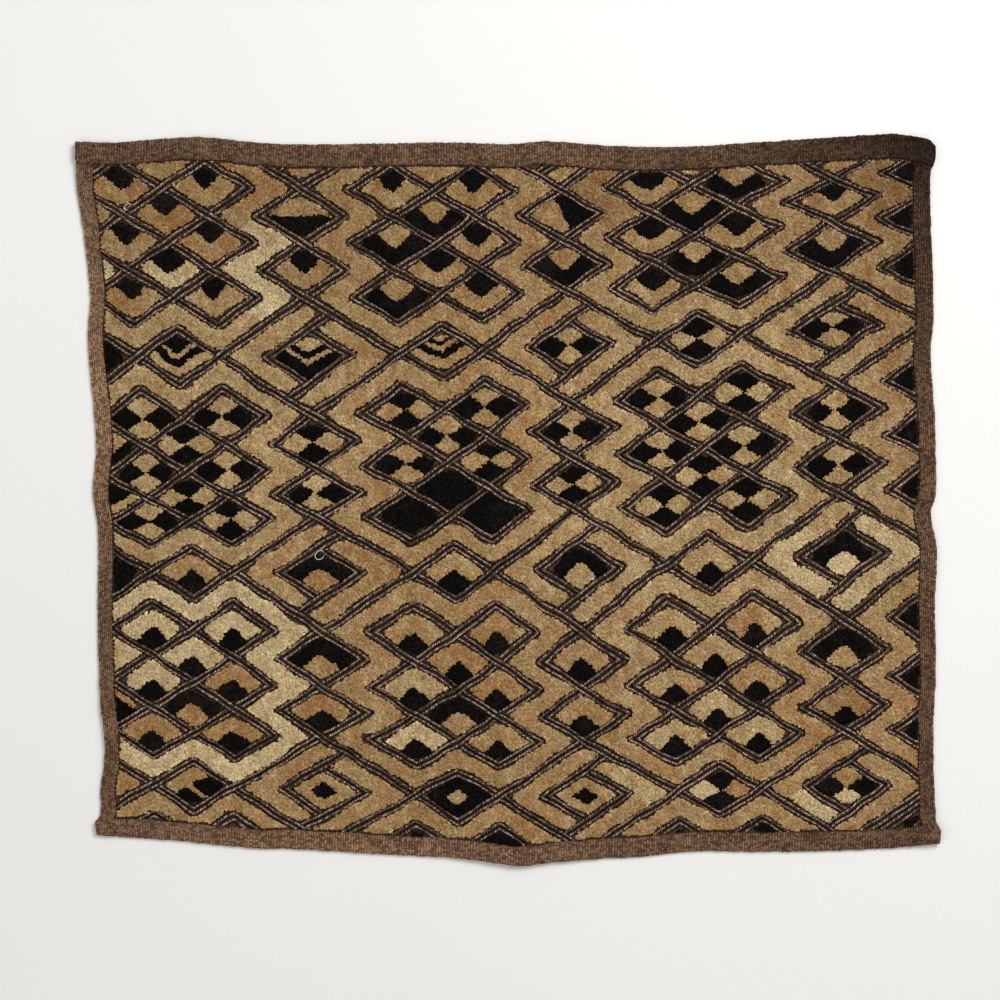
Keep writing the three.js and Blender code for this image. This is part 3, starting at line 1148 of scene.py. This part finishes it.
class RAFFIA_OT_ground(bpy.types.Operator):
    """Makes the thin woven ground on the cloth's folds"""

    bl_idname = "raffia.ground"
    bl_label = "Woven ground"

    def execute(self, context):
        sizes = context.scene.raffia_sizes
        across, up = GROUND_QUADS
        p, q = np.meshgrid(*(
            np.linspace(GROUND_INSET / size, 1 - GROUND_INSET / size, quads + 1)
            for size, quads in zip(PANEL, GROUND_QUADS)
        ))
        plan = plan_point(p, q).reshape(-1, 2)
        lift = lift_at(plan[:, 0], plan[:, 1])
        face = np.column_stack([plan, lift + sizes.ground_thickness / MM])
        under = np.column_stack([plan, lift + GROUND_LOW])
        points = np.vstack([face, under])
        below = len(face)
        row = across + 1
        i, j = np.meshgrid(np.arange(across), np.arange(up))
        a = (j * row + i).ravel()
        top = np.column_stack([a, a + 1, a + row + 1, a + row])
        bottom = top[:, ::-1] + below
        front = np.arange(across)
        back = up * row + np.arange(across)
        left = np.arange(up) * row
        right = left + across
        walls = np.vstack([
            np.column_stack([front + below, front + 1 + below, front + 1, front]),
            np.column_stack([back + 1 + below, back + below, back, back + 1]),
            np.column_stack([left + row + below, left + below, left, left + row]),
            np.column_stack([right + below, right + row + below, right + row, right]),
        ])
        faces = np.vstack([top, bottom, walls])
        material = ground_material(context.scene.raffia_colours)
        ground = make_piece("woven_ground", points, faces, material, "raffia_ground")
        # Painted shade: the ground's face is darker than its underside
        shade = np.repeat((FACE_PAINTED_SHADE, 1.0), below)
        set_colours(ground, "wear", np.repeat(shade[:, None], 3, axis=1))
        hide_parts("raffia_cloth")
        return {"FINISHED"}


# Steps along one rib of a hem, ribs across a side hem, steps across an end hem's face, how far a side
# hem runs on below the end hems, and the distance between a side hem's sections
RIB_STEPS = 4
SIDE_RIBS = 6
END_FACE_STEPS = 8
TUCK = 5.0
SIDE_STEP = 2.4

# Where a hem's face begins in from its fold, and where it stops before its inner edge
FACE_FROM = 1.5
FACE_STOP = 0.7

# Ends of an end hem: how much narrower it gets, over what length, how far in from the ends its ribs
# stay straight, and where it comes down from the side hem below it
END_NARROWER = 2.5
END_NARROWS_OVER = 3
END_STRAIGHT = 6
CORNER_FROM = 9
CORNER_TO = 15

# How far in the outer edge of the fold lies, how wide that edge is, and how round the ribs are
FOLD_IN = 0.2
FOLD_EDGE = 1.0
RIB_ROUND = 0.7

# Painted highlight along a hem's fold and painted shade along its inner edge: how much lighter and how much
# darker
FOLD_HIGHLIGHT = 0.3
INNER_SHADE = 0.3

# Points round a section of a hem: distance in, height as a share of the hem's, and share of the ribs'
# relief. The inner ones, after the face, are counted from the inner edge and the others from the fold
FOLD_SECTION = ((0.9, 0.03, 0), (0.28, 0.16, 0), (0.0, 0.45, 0), (0.25, 0.78, 0.3), (0.9, 0.96, 0.8))
INNER_SECTION = ((-0.25, 0.93, 0.5), (0.0, 0.72, 0), (-0.1, 0.52, 0))
LAST_POINT = (1.3, 0.5, 0)


def hem_profile(width, face_steps):
    """Distance in from the fold, share of the height and share of the relief, round one section."""
    face_width = width - FACE_FROM - FACE_STOP
    face = [(FACE_FROM + face_width * k / face_steps, 1.0, 1.0) for k in range(face_steps + 1)]
    inner = [(width + inwards, rise, relief) for inwards, rise, relief in INNER_SECTION]
    return [*FOLD_SECTION, *face, *inner, LAST_POINT]


class RAFFIA_OT_hems(bpy.types.Operator):
    """Makes the four turned hems with their woven ribs, the end hems over the side hems"""

    bl_idname = "raffia.hems"
    bl_label = "Turned hems"

    def execute(self, context):
        sizes = context.scene.raffia_sizes
        material = hem_material(context.scene.raffia_colours)
        for side in ("left", "right", "top", "bottom"):
            self.make_hem(side, sizes, material)
        return {"FINISHED"}

    def make_hem(self, side, sizes, material):
        """One hem: sections along its edge, each a closed round of points."""
        bead_pitch = sizes.bead_pitch / MM
        end_hem = side in END_HEMS
        edge = EDGES[side]
        if end_hem:
            start, end = edge[0, 0], edge[-1, 0]
            step = sizes.rib_pitch / MM / RIB_STEPS
            face_steps = END_FACE_STEPS
        else:
            start = inner_edge("bottom", edge[0, 0]) - TUCK
            end = inner_edge("top", edge[-1, 0]) + TUCK
            step = SIDE_STEP
            face_steps = SIDE_RIBS * RIB_STEPS
        count = int((end - start) / step)
        run = start + (end - start) * np.arange(count + 1) / count
        width = uneven(run, 0 * run, along_hem(side, run, HEM_WIDTH), (0.35, 26, 11))
        if end_hem:
            from_end = np.minimum(run - start, end - run)
            width = width - END_NARROWER * (1 - smooth_step(0, END_NARROWS_OVER, from_end))
        section = np.array([hem_profile(w, face_steps) for w in width])
        inwards, rise, relief_share = np.moveaxis(section, 2, 0)
        ring = inwards.shape[1]
        along = np.repeat(run[:, None], ring, axis=1)
        if end_hem:
            inside_ends = smooth_step(0, END_STRAIGHT, along - start)
            inside_ends = inside_ends * smooth_step(0, END_STRAIGHT, end - along)
            along = along + uneven(along, inwards, 0, (0.35, 14, 12)) * inside_ends
            rib_run = np.arange(count + 1)[:, None] / RIB_STEPS + 0 * along
            bead_run = inwards / bead_pitch
        else:
            face_share = (inwards - FACE_FROM) / (width[:, None] - (FACE_FROM + FACE_STOP))
            rib_run = np.clip(face_share, 0, 1) * SIDE_RIBS
            bead_run = along / bead_pitch
        rib = 0.5 + 0.5 * np.cos(2 * math.pi * rib_run)
        ragged = uneven(along, 0 * along, 0, (0.16, 4, 16), (0.16, 11, 17))
        ragged_in = inwards + np.where(inwards < FOLD_EDGE, FOLD_IN + ragged, 0)
        across = edge_at(side, along) + INWARD[side] * ragged_in
        x, y = across, along
        corner = np.zeros_like(x)
        if end_hem:
            left_end = edge_at("left", across)
            right_end = edge_at("right", across)
            along = left_end + (along - start) / (end - start) * (right_end - left_end)
            x, y = along, across
            corner = 1 - smooth_step(CORNER_FROM, CORNER_TO, np.minimum(along - start, end - along))
        height = sizes.hem_height / MM + corner * sizes.hem_corner / MM
        body = rise * height + relief_share * rib**RIB_ROUND * sizes.rib_height / MM
        points = np.stack([x, y, lift_at(x, y) + body], axis=-1).reshape(-1, 3)
        a, b = tube_corners(count, ring)
        turned = side in ("bottom", "right")
        quads = np.column_stack([a, b, b + ring, a + ring])
        if turned:
            quads = quads[:, ::-1]
        faces = np.vstack([
            quads[:, (0, 1, 2)],
            quads[:, (0, 2, 3)],
            self.end_cap(np.arange(ring), 0, turned),
            self.end_cap(np.arange(ring), count * ring, not turned),
        ])
        piece = make_piece(f"hem_{side}", points, faces, material, "raffia_ground")
        # Painted highlight on the fold and painted shade at the inner edge, over each hem's tone and
        # painted shade
        fold = 1 - smooth_step(0, 1.3, inwards)
        inner_shade_mask = smooth_step(-1.4, 0.2, inwards - width[:, None])
        light = along_hem(side, run, HEM_TONE_AND_SHADE)[:, None] * (1 + FOLD_HIGHLIGHT * fold - INNER_SHADE * inner_shade_mask)
        light = light * uneven(x, y, 1, (0.1, 30, 14))
        leaf = np.clip(uneven(x, y, HEM_LEAF[side], (0.4, 12, 13)), 0, 1)
        plum = np.clip(uneven(x, y, 0.12, (0.3, 9, 15)), 0, 0.7)
        # First channel: the hem's tone with painted highlight and painted shade; then its leaf and plum
        # colour
        set_colours(piece, "wear", np.stack([light, leaf, plum], axis=-1).reshape(-1, 3))
        set_threads(piece, np.stack([rib_run + 0.5, bead_run, 0 * along], axis=-1).reshape(-1, 3))
        around = np.cumsum(np.hypot(np.diff(inwards, axis=1), np.diff(body, axis=1)), axis=1)
        around = np.concatenate([np.zeros((count + 1, 1)), around], axis=1)
        set_bake_map(piece, np.stack([along, around], axis=-1).reshape(-1, 2))
        shade_smooth(piece)

    def end_cap(self, ring, first, turned):
        """A fan that closes one end of a hem."""
        fan = np.column_stack([np.full(len(ring) - 2, first), first + ring[1:-1], first + ring[2:]])
        return fan[:, ::-1] if turned else fan


# Rows of the two threads: step from the seed, slant from the row in degrees, mean height as a share of
# a full stitch's, rise of a stitch's tips and sides as shares of its crest's, and unevenness of tone
DARK_ROWS = (21, 12, 0.85, SEWN_RISE, 0.25)
LIGHT_ROWS = (22, 52, 1, (0.4, 0.4), 0.1)

# Length and width of a stitch, as shares of the row's width or of the pitch
DARK_LENGTH = 1.5
LIGHT_LENGTH = 1.15
LIGHT_WIDTH = 1.1

# How much lighter the light stitches are, and the middle and spread of their tones on a log scale
LIGHT_GAIN = 1.32
LIGHT_TONES = (-0.25, 0.7)

# How far stitches stay from a hem, how deep they sink into the ground, and how far each is out of line
STITCH_CLEAR = 0.4
STITCH_SINK = 0.1
STITCH_JITTER = 0.1

# Painted shade on the lines towards the upper right, where the light falls off: x, y, reach, and how much
# is taken from their tone
LINE_PAINTED_SHADE = (260, 210, 200, 0.35)


class RAFFIA_OT_lines(bpy.types.Operator):
    """Sews the pattern's lines: rows of dark and light stem stitch that pass over and under"""

    bl_idname = "raffia.lines"
    bl_label = "Stem-stitched lines"

    def execute(self, context):
        sizes = context.scene.raffia_sizes
        colours = context.scene.raffia_colours
        runs = line_runs(all_lines())
        dark_thread = thread_material("stitches_dark", colours.stitch_dark, colours.stitch_brown, 0.05)
        light_thread = thread_material("stitches_light", colours.stitch_light, colours.stitch_olive, 0.15)
        for dark, name, pitch, material, slot in (
            (True, "stitches_dark", sizes.dark_pitch / MM, dark_thread, "stitch_dark"),
            (False, "stitches_light", sizes.light_pitch / MM, light_thread, "stitch_light"),
        ):
            places = self.row_places(runs, dark, pitch)
            self.sew(name, places, pitch, dark, sizes, material, slot)
        return {"FINISHED"}

    def row_places(self, runs, dark, pitch):
        """u, v, whether it runs along v, width and line number of every dark or light stitch."""
        half = HALF_LINE / UNIT
        found = []
        for number, (line, first, last, dives) in enumerate(runs):
            direction, _, _, fixed, start, end = line
            for offset, width, row_dark in ROWS:
                if row_dark != dark:
                    continue
                off = offset / UNIT
                begin = start + self.end_move(first, off, 1, half)
                finish = end + self.end_move(last, off, -1, half)
                count = max(1, int(round((finish - begin) * SIDE / pitch)))
                run = begin + (finish - begin) * (np.arange(count) + 0.5) / count
                for dive in dives:
                    run = run[np.abs(run - dive) > half]
                side = np.full(len(run), fixed + off)
                place = (side, run) if direction == "u" else (run, side)
                upward = np.full(len(run), direction == "u")
                found.append((*place, upward, np.full(len(run), width), np.full(len(run), number)))
        return [np.concatenate(column) for column in zip(*found)]

    def end_move(self, style, off, forward, half):
        """How far a row begins past its line's end: mitred in a corner, short of a line it meets."""
        kind, sign = style
        if kind == "corner":
            return MITRE * off * sign * forward
        if kind == "butt":
            return half * forward
        return 0.0

    def sew(self, name, places, pitch, dark, sizes, material, slot):
        """Places the stitches on the cloth as one joined mesh."""
        seed_step, slant, full, rises, tone_spread = DARK_ROWS if dark else LIGHT_ROWS
        chance = np.random.default_rng(SEED + seed_step)
        x, y = line_place(*places[:2])
        kept = inside_field(x, y, STITCH_CLEAR)
        x, y, u, v, upward, width, number = (column[kept] for column in (x, y, *places))
        count = len(x)
        look_ahead = 0.02
        ahead_x, ahead_y = line_place(u + look_ahead * ~upward, v + look_ahead * upward)
        turn = np.arctan2(ahead_y - y, ahead_x - x)
        turn = turn + np.radians(slant) + chance.normal(0, 0.1, count)
        if dark:
            length = DARK_LENGTH * pitch * chance.normal(1, 0.07, count)
            wide = width * chance.normal(1, 0.08, count)
        else:
            length = LIGHT_LENGTH * width * chance.normal(1, 0.1, count)
            wide = LIGHT_WIDTH * pitch * chance.normal(1, 0.1, count)
        base = lift_at(x, y) + sizes.ground_thickness / MM - STITCH_SINK
        tall = sizes.stitch_height / MM * chance.normal(full, 0.1, count) + STITCH_SINK
        x = x + chance.normal(0, STITCH_JITTER, count)
        y = y + chance.normal(0, STITCH_JITTER, count)
        points = stitch_points(x, y, turn, length, wide, base, tall, rises)
        line_light = np.random.default_rng(SEED + 23).normal(1, 0.2, number.max() + 1)[number]
        worn = uneven(x, y, 1, (0.25, 20, 24))
        # Painted shade: the lines darker near the upper right corner
        dim_x, dim_y, reach, taken = LINE_PAINTED_SHADE
        painted_shade = 1 - taken * smooth_step(0, 1, 1 - np.hypot(x - dim_x, y - dim_y) / reach)
        light = PLAIN_TONE * line_light * worn * painted_shade * chance.normal(1, tone_spread, count)
        if not dark:
            light = light * LIGHT_GAIN * np.exp(chance.normal(*LIGHT_TONES, count))
        share = np.clip(uneven(x, y, 0.3, (0.3, 12, 25)) + chance.normal(0, 0.2, count), 0, 1)
        dye = np.stack([np.zeros(count), share, np.clip(light, 0.12, 1)], axis=-1)
        make_small_things(name, points, STITCH_FACES, dye, material, slot)


# How much orange and pale each tone adds to a tuft, and how light it is
ORANGE_OF_TONE = np.array((0, 0.6, 0, 0.8, 0, 0))
PALE_OF_TONE = np.array((0, 0, 0.65, 0, 0.3, 0.38))
LIGHT_OF_TONE = np.array((1, 1, 1, 0.82, 1, 1))

# Where long use has bleached the pile: x, y and reach
BLEACHED = ((-200, 45, 150), (140, 15, 190))

# What bleaching takes from a tuft's orange and adds to its pale
BLEACHED_ORANGE = 0.3
BLEACHED_PALE = 0.17

# Painted shade on the undyed pile, where the light falls off: how much darker it is towards the top and
# in the upper right, and from where to where in x or y it grows darker
PAINTED_SHADE_TOP = 0.16
PAINTED_SHADE_RIGHT = 0.13
TOP_DARKENS = (40, 230)
RIGHT_DARKENS_X = (180, 285)
RIGHT_DARKENS_Y = (-140, 20)

# How far a tuft's root is out of line, as a share of the pitch, and how deep it sinks into the ground
TUFT_JITTER = 0.22
TUFT_SINK = 0.05

# Where a tuft spreads, as a share of its height, and how much of its lean it has there
SPREAD_HEIGHT = 0.84
SPREAD_LEAN = 0.6

# Tufts along the pile's edge vary more, by a tone in this range. Its share is FRINGE_FULL less the way
# in over FRINGE_REACH, held between 0 and 1
FRINGE_FULL = 1.5
FRINGE_REACH = 1.3
FRINGE_TONES = (-0.2, 0.42)

# The undyed pile is three pieces, so that none is too large
STRAW_PIECES = ("pile_straw_bottom", "pile_straw_middle", "pile_straw_top")


def bleached_share(x, y):
    """How far long use has bleached the pile at a place, 0 to 1."""
    share = np.zeros(x.shape)
    for middle_x, middle_y, reach in BLEACHED:
        share = np.maximum(share, smooth_step(0, 0.6, 1 - np.hypot(x - middle_x, y - middle_y) / reach))
    return share


def pile_painted_shade(x, y):
    """Painted shade on the undyed pile: darker towards the top and in the upper right."""
    towards_top = smooth_step(*TOP_DARKENS, y)
    towards_right = smooth_step(*RIGHT_DARKENS_X, x) * smooth_step(*RIGHT_DARKENS_Y, y)
    return (1 - PAINTED_SHADE_TOP * towards_top) * (1 - PAINTED_SHADE_RIGHT * towards_right)


class RAFFIA_OT_pile(bpy.types.Operator):
    """Sets the cut pile: tufts between the lines, black or undyed as charted"""

    bl_idname = "raffia.pile"
    bl_label = "Cut pile"

    def execute(self, context):
        sizes = context.scene.raffia_sizes
        colours = context.scene.raffia_colours
        chance = np.random.default_rng(SEED + 31)
        pitch = sizes.tuft_pitch / MM
        columns = int(CAD_HIGH[0] * 2 / MM / pitch)
        rows = int(CAD_HIGH[1] * 2 / MM / pitch)
        i, j = np.meshgrid(np.arange(columns), np.arange(rows))
        x = CAD_LOW[0] / MM + (i + 0.5 * (j % 2)) * pitch
        y = CAD_LOW[1] / MM + j * pitch
        x = (x + chance.uniform(-TUFT_JITTER, TUFT_JITTER, x.shape) * pitch).ravel()
        y = (y + chance.uniform(-TUFT_JITTER, TUFT_JITTER, y.shape) * pitch).ravel()
        kept = inside_field(x, y, HEM_CLEAR)
        x, y = x[kept], y[kept]
        u, v = chart_place(x, y)
        black, tone = pile_plan(x, y, u, v)
        edge = np.where(black, BLACK_EDGE, STRAW_EDGE)
        edge = uneven(x, y, edge, (0.5, 50, 42), (0.3, 18, 43), (0.4, 4, 44))
        distance = line_distance(u, v, all_lines())
        clear = distance > edge + ROOT_IN
        x, y, black, tone = x[clear], y[clear], black[clear], tone[clear]
        room = np.column_stack([distance[clear], edge[clear]])
        straw = straw_pile_material(colours)
        dyed = black_pile_material(colours)
        pieces = [("pile_black", black, dyed, "pile_black")]
        thirds = np.quantile(y[~black], (0, 1 / 3, 2 / 3, 1))
        for name, low, high in zip(STRAW_PIECES, thirds[:-1], thirds[1:]):
            mine = ~black & (y >= low) & ((y < high) | (high == thirds[-1]))
            pieces.append((name, mine, straw, "pile_straw"))
        for name, mine, material, slot in pieces:
            self.set_tufts(name, x[mine], y[mine], room[mine], tone[mine], sizes, material, slot)
        return {"FINISHED"}

    def set_tufts(self, name, x, y, room, tone, sizes, material, slot):
        """One joined mesh of tufts: each a root, three spread points and a tip."""
        chance = np.random.default_rng(SEED + 41 + len(name))
        count = len(x)
        black = slot == "pile_black"
        base = lift_at(x, y) + sizes.ground_thickness / MM - TUFT_SINK
        roll = uneven(x, y, 1, (0.06, 60, 32))
        tall = sizes.pile_height / MM * roll * chance.normal(1, 0.05, count)
        radius = sizes.tuft_radius / MM * chance.normal(1, 0.1, count)
        lean_x = uneven(x, y, 0, (0.2, 18, 33)) + chance.normal(0, 0.15, count)
        lean_y = uneven(x, y, 0, (0.2, 18, 34)) + chance.normal(0, 0.15, count)
        spin = chance.uniform(0, 2 * math.pi, count)
        points = np.zeros((count, POINTS_EACH, 3))
        points[:, 0] = np.column_stack([x, y, base])
        for k in range(3):
            turn = spin + k * 2 * math.pi / 3
            move_x = SPREAD_LEAN * lean_x + radius * np.cos(turn)
            move_y = SPREAD_LEAN * lean_y + radius * np.sin(turn)
            kept = self.share_before_border(x + move_x, y + move_y, room, black)
            points[:, 1 + k, 0] = x + kept * move_x
            points[:, 1 + k, 1] = y + kept * move_y
            points[:, 1 + k, 2] = base + tall * chance.normal(SPREAD_HEIGHT, 0.035, count)
        points[:, 4] = np.column_stack([x + lean_x, y + lean_y, base + tall])
        bleached = bleached_share(x, y)
        orange = uneven(x, y, 0.3, (0.26, 55, 35), (0.2, 13, 38)) - BLEACHED_ORANGE * bleached
        orange = np.clip(orange + ORANGE_OF_TONE[tone] + chance.normal(0, 0.22, count), 0, 1)
        pale = uneven(x, y, 0.08, (0.1, 35, 36), (0.1, 11, 39)) + BLEACHED_PALE * bleached
        pale = np.clip(pale + PALE_OF_TONE[tone] + chance.normal(0, 0.13, count), 0, 1)
        tone_spread = 0.35 if black else 0.14
        light = PLAIN_TONE * uneven(x, y, 1, (0.05, 16, 37)) * chance.normal(1, tone_spread, count)
        light = light * LIGHT_OF_TONE[tone]
        nearness = np.clip(FRINGE_FULL - (room[:, 0] - room[:, 1]) / FRINGE_REACH, 0, 1)
        fringe = nearness * chance.uniform(*FRINGE_TONES, count)
        if not black:
            # Painted shade towards the top and upper right, and the fringe's own tone
            light = light * pile_painted_shade(x, y) * (1 + fringe)
        dye = np.stack([orange, pale, np.clip(light, 0.15, 0.9)], axis=-1)
        make_small_things(name, points.reshape(-1, 3), TUFT_FACES, dye, material, slot)

    def share_before_border(self, x, y, room, black):
        """How far a tuft may spread towards a place before the pile's edge or the other pile."""
        root_distance, edge = room.T
        u, v = chart_place(x, y)
        closing = np.maximum(root_distance - line_distance(u, v, all_lines()), 1e-6)
        before_line = np.clip((root_distance - edge) / closing, 0.1, 1)
        other_pile = pile_plan(x, y, u, v)[0] != black
        return before_line * np.where(other_pile, 0.5, 1)


# Distance between the stitches of a hem, how far they stay from corners, how far out from the hem's
# inner edge they lie, and their mean turn on end hems and on side hems
SEWING_GAP = 8.0
SEWING_CLEAR = 22
SEWING_OUT = 1.3
SEWING_TURN_END = 1.15
SEWING_TURN_SIDE = 0.35

# Mean length, width and height of a hem's stitch, and how deep it sinks into the hem
SEWING_LENGTH = 1.9
SEWING_WIDTH = 1.0
SEWING_HEIGHT = 0.85
SEWING_SINK = 0.3


class RAFFIA_OT_hem_sewing(bpy.types.Operator):
    """Sews the hems down with small slanting stitches"""

    bl_idname = "raffia.hem_sewing"
    bl_label = "Hem sewing"

    def execute(self, context):
        sizes = context.scene.raffia_sizes
        colours = context.scene.raffia_colours
        chance = np.random.default_rng(SEED + 51)
        all_points = []
        for side in ("top", "bottom", "left", "right"):
            end_hem = side in END_HEMS
            edge = EDGES[side]
            low, high = (edge[0, 0], edge[-1, 0]) if end_hem else (edge[0, 1], edge[-1, 1])
            count = int((high - low - 2 * SEWING_CLEAR) / SEWING_GAP)
            run = low + SEWING_CLEAR + SEWING_GAP * (np.arange(count) + chance.uniform(-0.4, 0.4, count))
            across = inner_edge(side, run) - INWARD[side] * chance.normal(SEWING_OUT, 0.25, count)
            x, y = (run, across) if end_hem else (across, run)
            turn = chance.normal(SEWING_TURN_END if end_hem else SEWING_TURN_SIDE, 0.25, count)
            base = lift_at(x, y) + sizes.hem_height / MM - SEWING_SINK
            length = chance.normal(SEWING_LENGTH, 0.35, count)
            height = chance.normal(SEWING_HEIGHT, 0.1, count)
            width = np.full(count, SEWING_WIDTH)
            all_points.append(stitch_points(x, y, turn, length, width, base, height, SEWN_RISE))
        points = np.vstack(all_points)
        count = len(points) // POINTS_EACH
        light = PLAIN_TONE * chance.normal(0.55, 0.12, count)
        share = chance.uniform(0, 1, count)
        dye = np.stack([np.zeros(count), share, np.clip(light, 0.15, 1)], axis=-1)
        material = thread_material("hem_thread", colours.straw_pale, colours.hem_light, 0.15)
        make_small_things("hem_sewing", points, STITCH_FACES, dye, material, "stitch_light")
        return {"FINISHED"}


# Sides round a loose fibre, steps along it, its radius, how far it waves up and down, and its dye
FIBRE_SIDES = 6
FIBRE_STEPS = 36
FIBRE_RADIUS = 0.27
FIBRE_WAVE = 0.25
FIBRE_DYE = (0.0, 0.1, 0.55)


class RAFFIA_OT_fibres(bpy.types.Operator):
    """Lays the loose ends of split leaf that curl on the face"""

    bl_idname = "raffia.fibres"
    bl_label = "Loose fibres"

    def execute(self, context):
        colours = context.scene.raffia_colours
        sides = FIBRE_SIDES
        steps = FIBRE_STEPS
        all_points = []
        all_faces = []
        for middle_x, middle_y, half_width, half_depth, turn, loop, height in LOOSE_FIBRES:
            share = np.linspace(0, 1, steps + 1)
            angle = 2 * math.pi * loop * share
            curl_x = half_width * np.cos(angle)
            curl_y = half_depth * np.sin(angle)
            x = middle_x + SHIFT[0] + curl_x * math.cos(turn) - curl_y * math.sin(turn)
            y = middle_y + SHIFT[1] + curl_x * math.sin(turn) + curl_y * math.cos(turn)
            z = lift_at(x, y) + height + FIBRE_WAVE * np.sin(2 * math.pi * share)
            ahead_x, ahead_y = np.gradient(x), np.gradient(y)
            pace = np.hypot(ahead_x, ahead_y)
            thin = FIBRE_RADIUS * np.minimum(1, 0.35 + 6 * np.minimum(share, 1 - share))
            first = sum(len(points) for points in all_points)
            rings = []
            for k in range(sides):
                side_turn = 2 * math.pi * k / sides
                out = thin * math.cos(side_turn)
                up = thin * math.sin(side_turn)
                rings.append(np.column_stack([x - out * ahead_y / pace, y + out * ahead_x / pace, z + up]))
            all_points.append(np.stack(rings, axis=1).reshape(-1, 3))
            a, b = (first + corner for corner in tube_corners(steps, sides))
            all_faces += [np.column_stack([a, a + sides, b + sides]), np.column_stack([a, b + sides, b])]
            fan = np.array([(0, k, k + 1) for k in range(1, sides - 1)])
            all_faces += [first + fan, first + steps * sides + fan[:, ::-1]]
        points = np.vstack(all_points)
        material = thread_material("loose_fibre", colours.fibre_pale, colours.straw_pale, 0.2)
        piece = make_piece("loose_fibres", points, np.vstack(all_faces), material, "pile_straw")
        set_dye(piece, points, np.tile(FIBRE_DYE, (len(points), 1)))
        return {"FINISHED"}


class RAFFIA_OT_stage(bpy.types.Operator):
    """Sets the plain pale floor, the soft studio light and the camera straight above"""

    bl_idname = "raffia.stage"
    bl_label = "Stage"

    def execute(self, context):
        scene = context.scene
        self.lay_floor(scene)
        self.hang_lights(scene)
        self.set_camera(scene)
        scene.view_settings.view_transform = "Standard"
        return {"FINISHED"}

    def lay_floor(self, scene):
        """A wide floor just under the cloth."""
        half = 4.0
        mesh = bpy.data.meshes.new("floor")
        low = -0.0004
        corners = [(-half, -half, low), (half, -half, low), (half, half, low), (-half, half, low)]
        mesh.from_pydata(corners, [], [(0, 1, 2, 3)])
        floor = bpy.data.objects.new("floor", mesh)
        scene.collection.objects.link(floor)
        material, tree = new_material("floor_pale")
        fade = place_group(tree, age_group(), {"Scale": 1.2})["Fade"]
        pale = scene.raffia_colours.floor_pale
        colour = mix_colours(tree, [channel * 0.97 for channel in pale], pale, fade)
        roughness = spread(tree, fade, 0.8, 0.9)
        finish_material(material, colour, roughness, fade, 0.0001, 0.1, gloss=0.25)
        mesh.materials.append(material)

    def hang_lights(self, scene):
        """A large soft key from the upper right, a weaker fill and an even surround."""
        for name, place, size, power in (
            ("key", (0.9, 1.0, 1.5), 1.1, 34.0),
            ("fill", (-1.3, -0.6, 1.6), 1.8, 9.0),
        ):
            lamp = bpy.data.lights.new(name, "AREA")
            lamp.energy = power
            lamp.shape = "DISK"
            lamp.size = size
            holder = bpy.data.objects.new(name, lamp)
            scene.collection.objects.link(holder)
            holder.location = place
            aim = -holder.location
            holder.rotation_euler = aim.to_track_quat("-Z", "Y").to_euler()
        world = bpy.data.worlds.new("studio")
        scene.world = world
        world.use_nodes = True
        surround = world.node_tree.nodes["Background"]
        surround.inputs["Color"].default_value = (1.0, 0.99, 0.97, 1.0)
        surround.inputs["Strength"].default_value = 0.45

    def set_camera(self, scene):
        """Straight above, framed as 677 mm across."""
        lens = bpy.data.cameras.new("camera")
        lens.lens = 85.0
        lens.sensor_width = 36.0
        lens.clip_start = 0.05
        camera = bpy.data.objects.new("camera", lens)
        scene.collection.objects.link(camera)
        framed = 0.677
        camera.location = (-0.0054, 0.0, framed * lens.lens / lens.sensor_width + 0.0025)
        scene.camera = camera


class RAFFIA_PT_cloth(bpy.types.Panel):
    """Lists the cloth's pieces and their sizes and colours"""

    bl_idname = "RAFFIA_PT_cloth"
    bl_label = "Raffia cloth"
    bl_space_type = "VIEW_3D"
    bl_region_type = "UI"
    bl_category = "Raffia"

    def draw(self, context):
        layout = self.layout
        for operator in OPERATORS:
            layout.operator(operator.bl_idname)
        for settings in (context.scene.raffia_sizes, context.scene.raffia_colours):
            for key in settings.__annotations__:
                layout.prop(settings, key)


OPERATORS = (
    RAFFIA_OT_ground,
    RAFFIA_OT_hems,
    RAFFIA_OT_lines,
    RAFFIA_OT_pile,
    RAFFIA_OT_hem_sewing,
    RAFFIA_OT_fibres,
    RAFFIA_OT_stage,
)
CLASSES = (RaffiaSizes, RaffiaColours, *OPERATORS, RAFFIA_PT_cloth)


def register():
    """Adds the settings, the operators and the panel."""
    for cls in CLASSES:
        bpy.utils.register_class(cls)
    bpy.types.Scene.raffia_sizes = PointerProperty(type=RaffiaSizes)
    bpy.types.Scene.raffia_colours = PointerProperty(type=RaffiaColours)


def unregister():
    """Takes them away again."""
    del bpy.types.Scene.raffia_colours
    del bpy.types.Scene.raffia_sizes
    for cls in reversed(CLASSES):
        bpy.utils.unregister_class(cls)


def main():
    """Builds every piece in order."""
    register()
    bpy.ops.raffia.ground()
    bpy.ops.raffia.hems()
    bpy.ops.raffia.lines()
    bpy.ops.raffia.pile()
    bpy.ops.raffia.hem_sewing()
    bpy.ops.raffia.fibres()
    bpy.ops.raffia.stage()


if __name__ == "__main__":
    main()
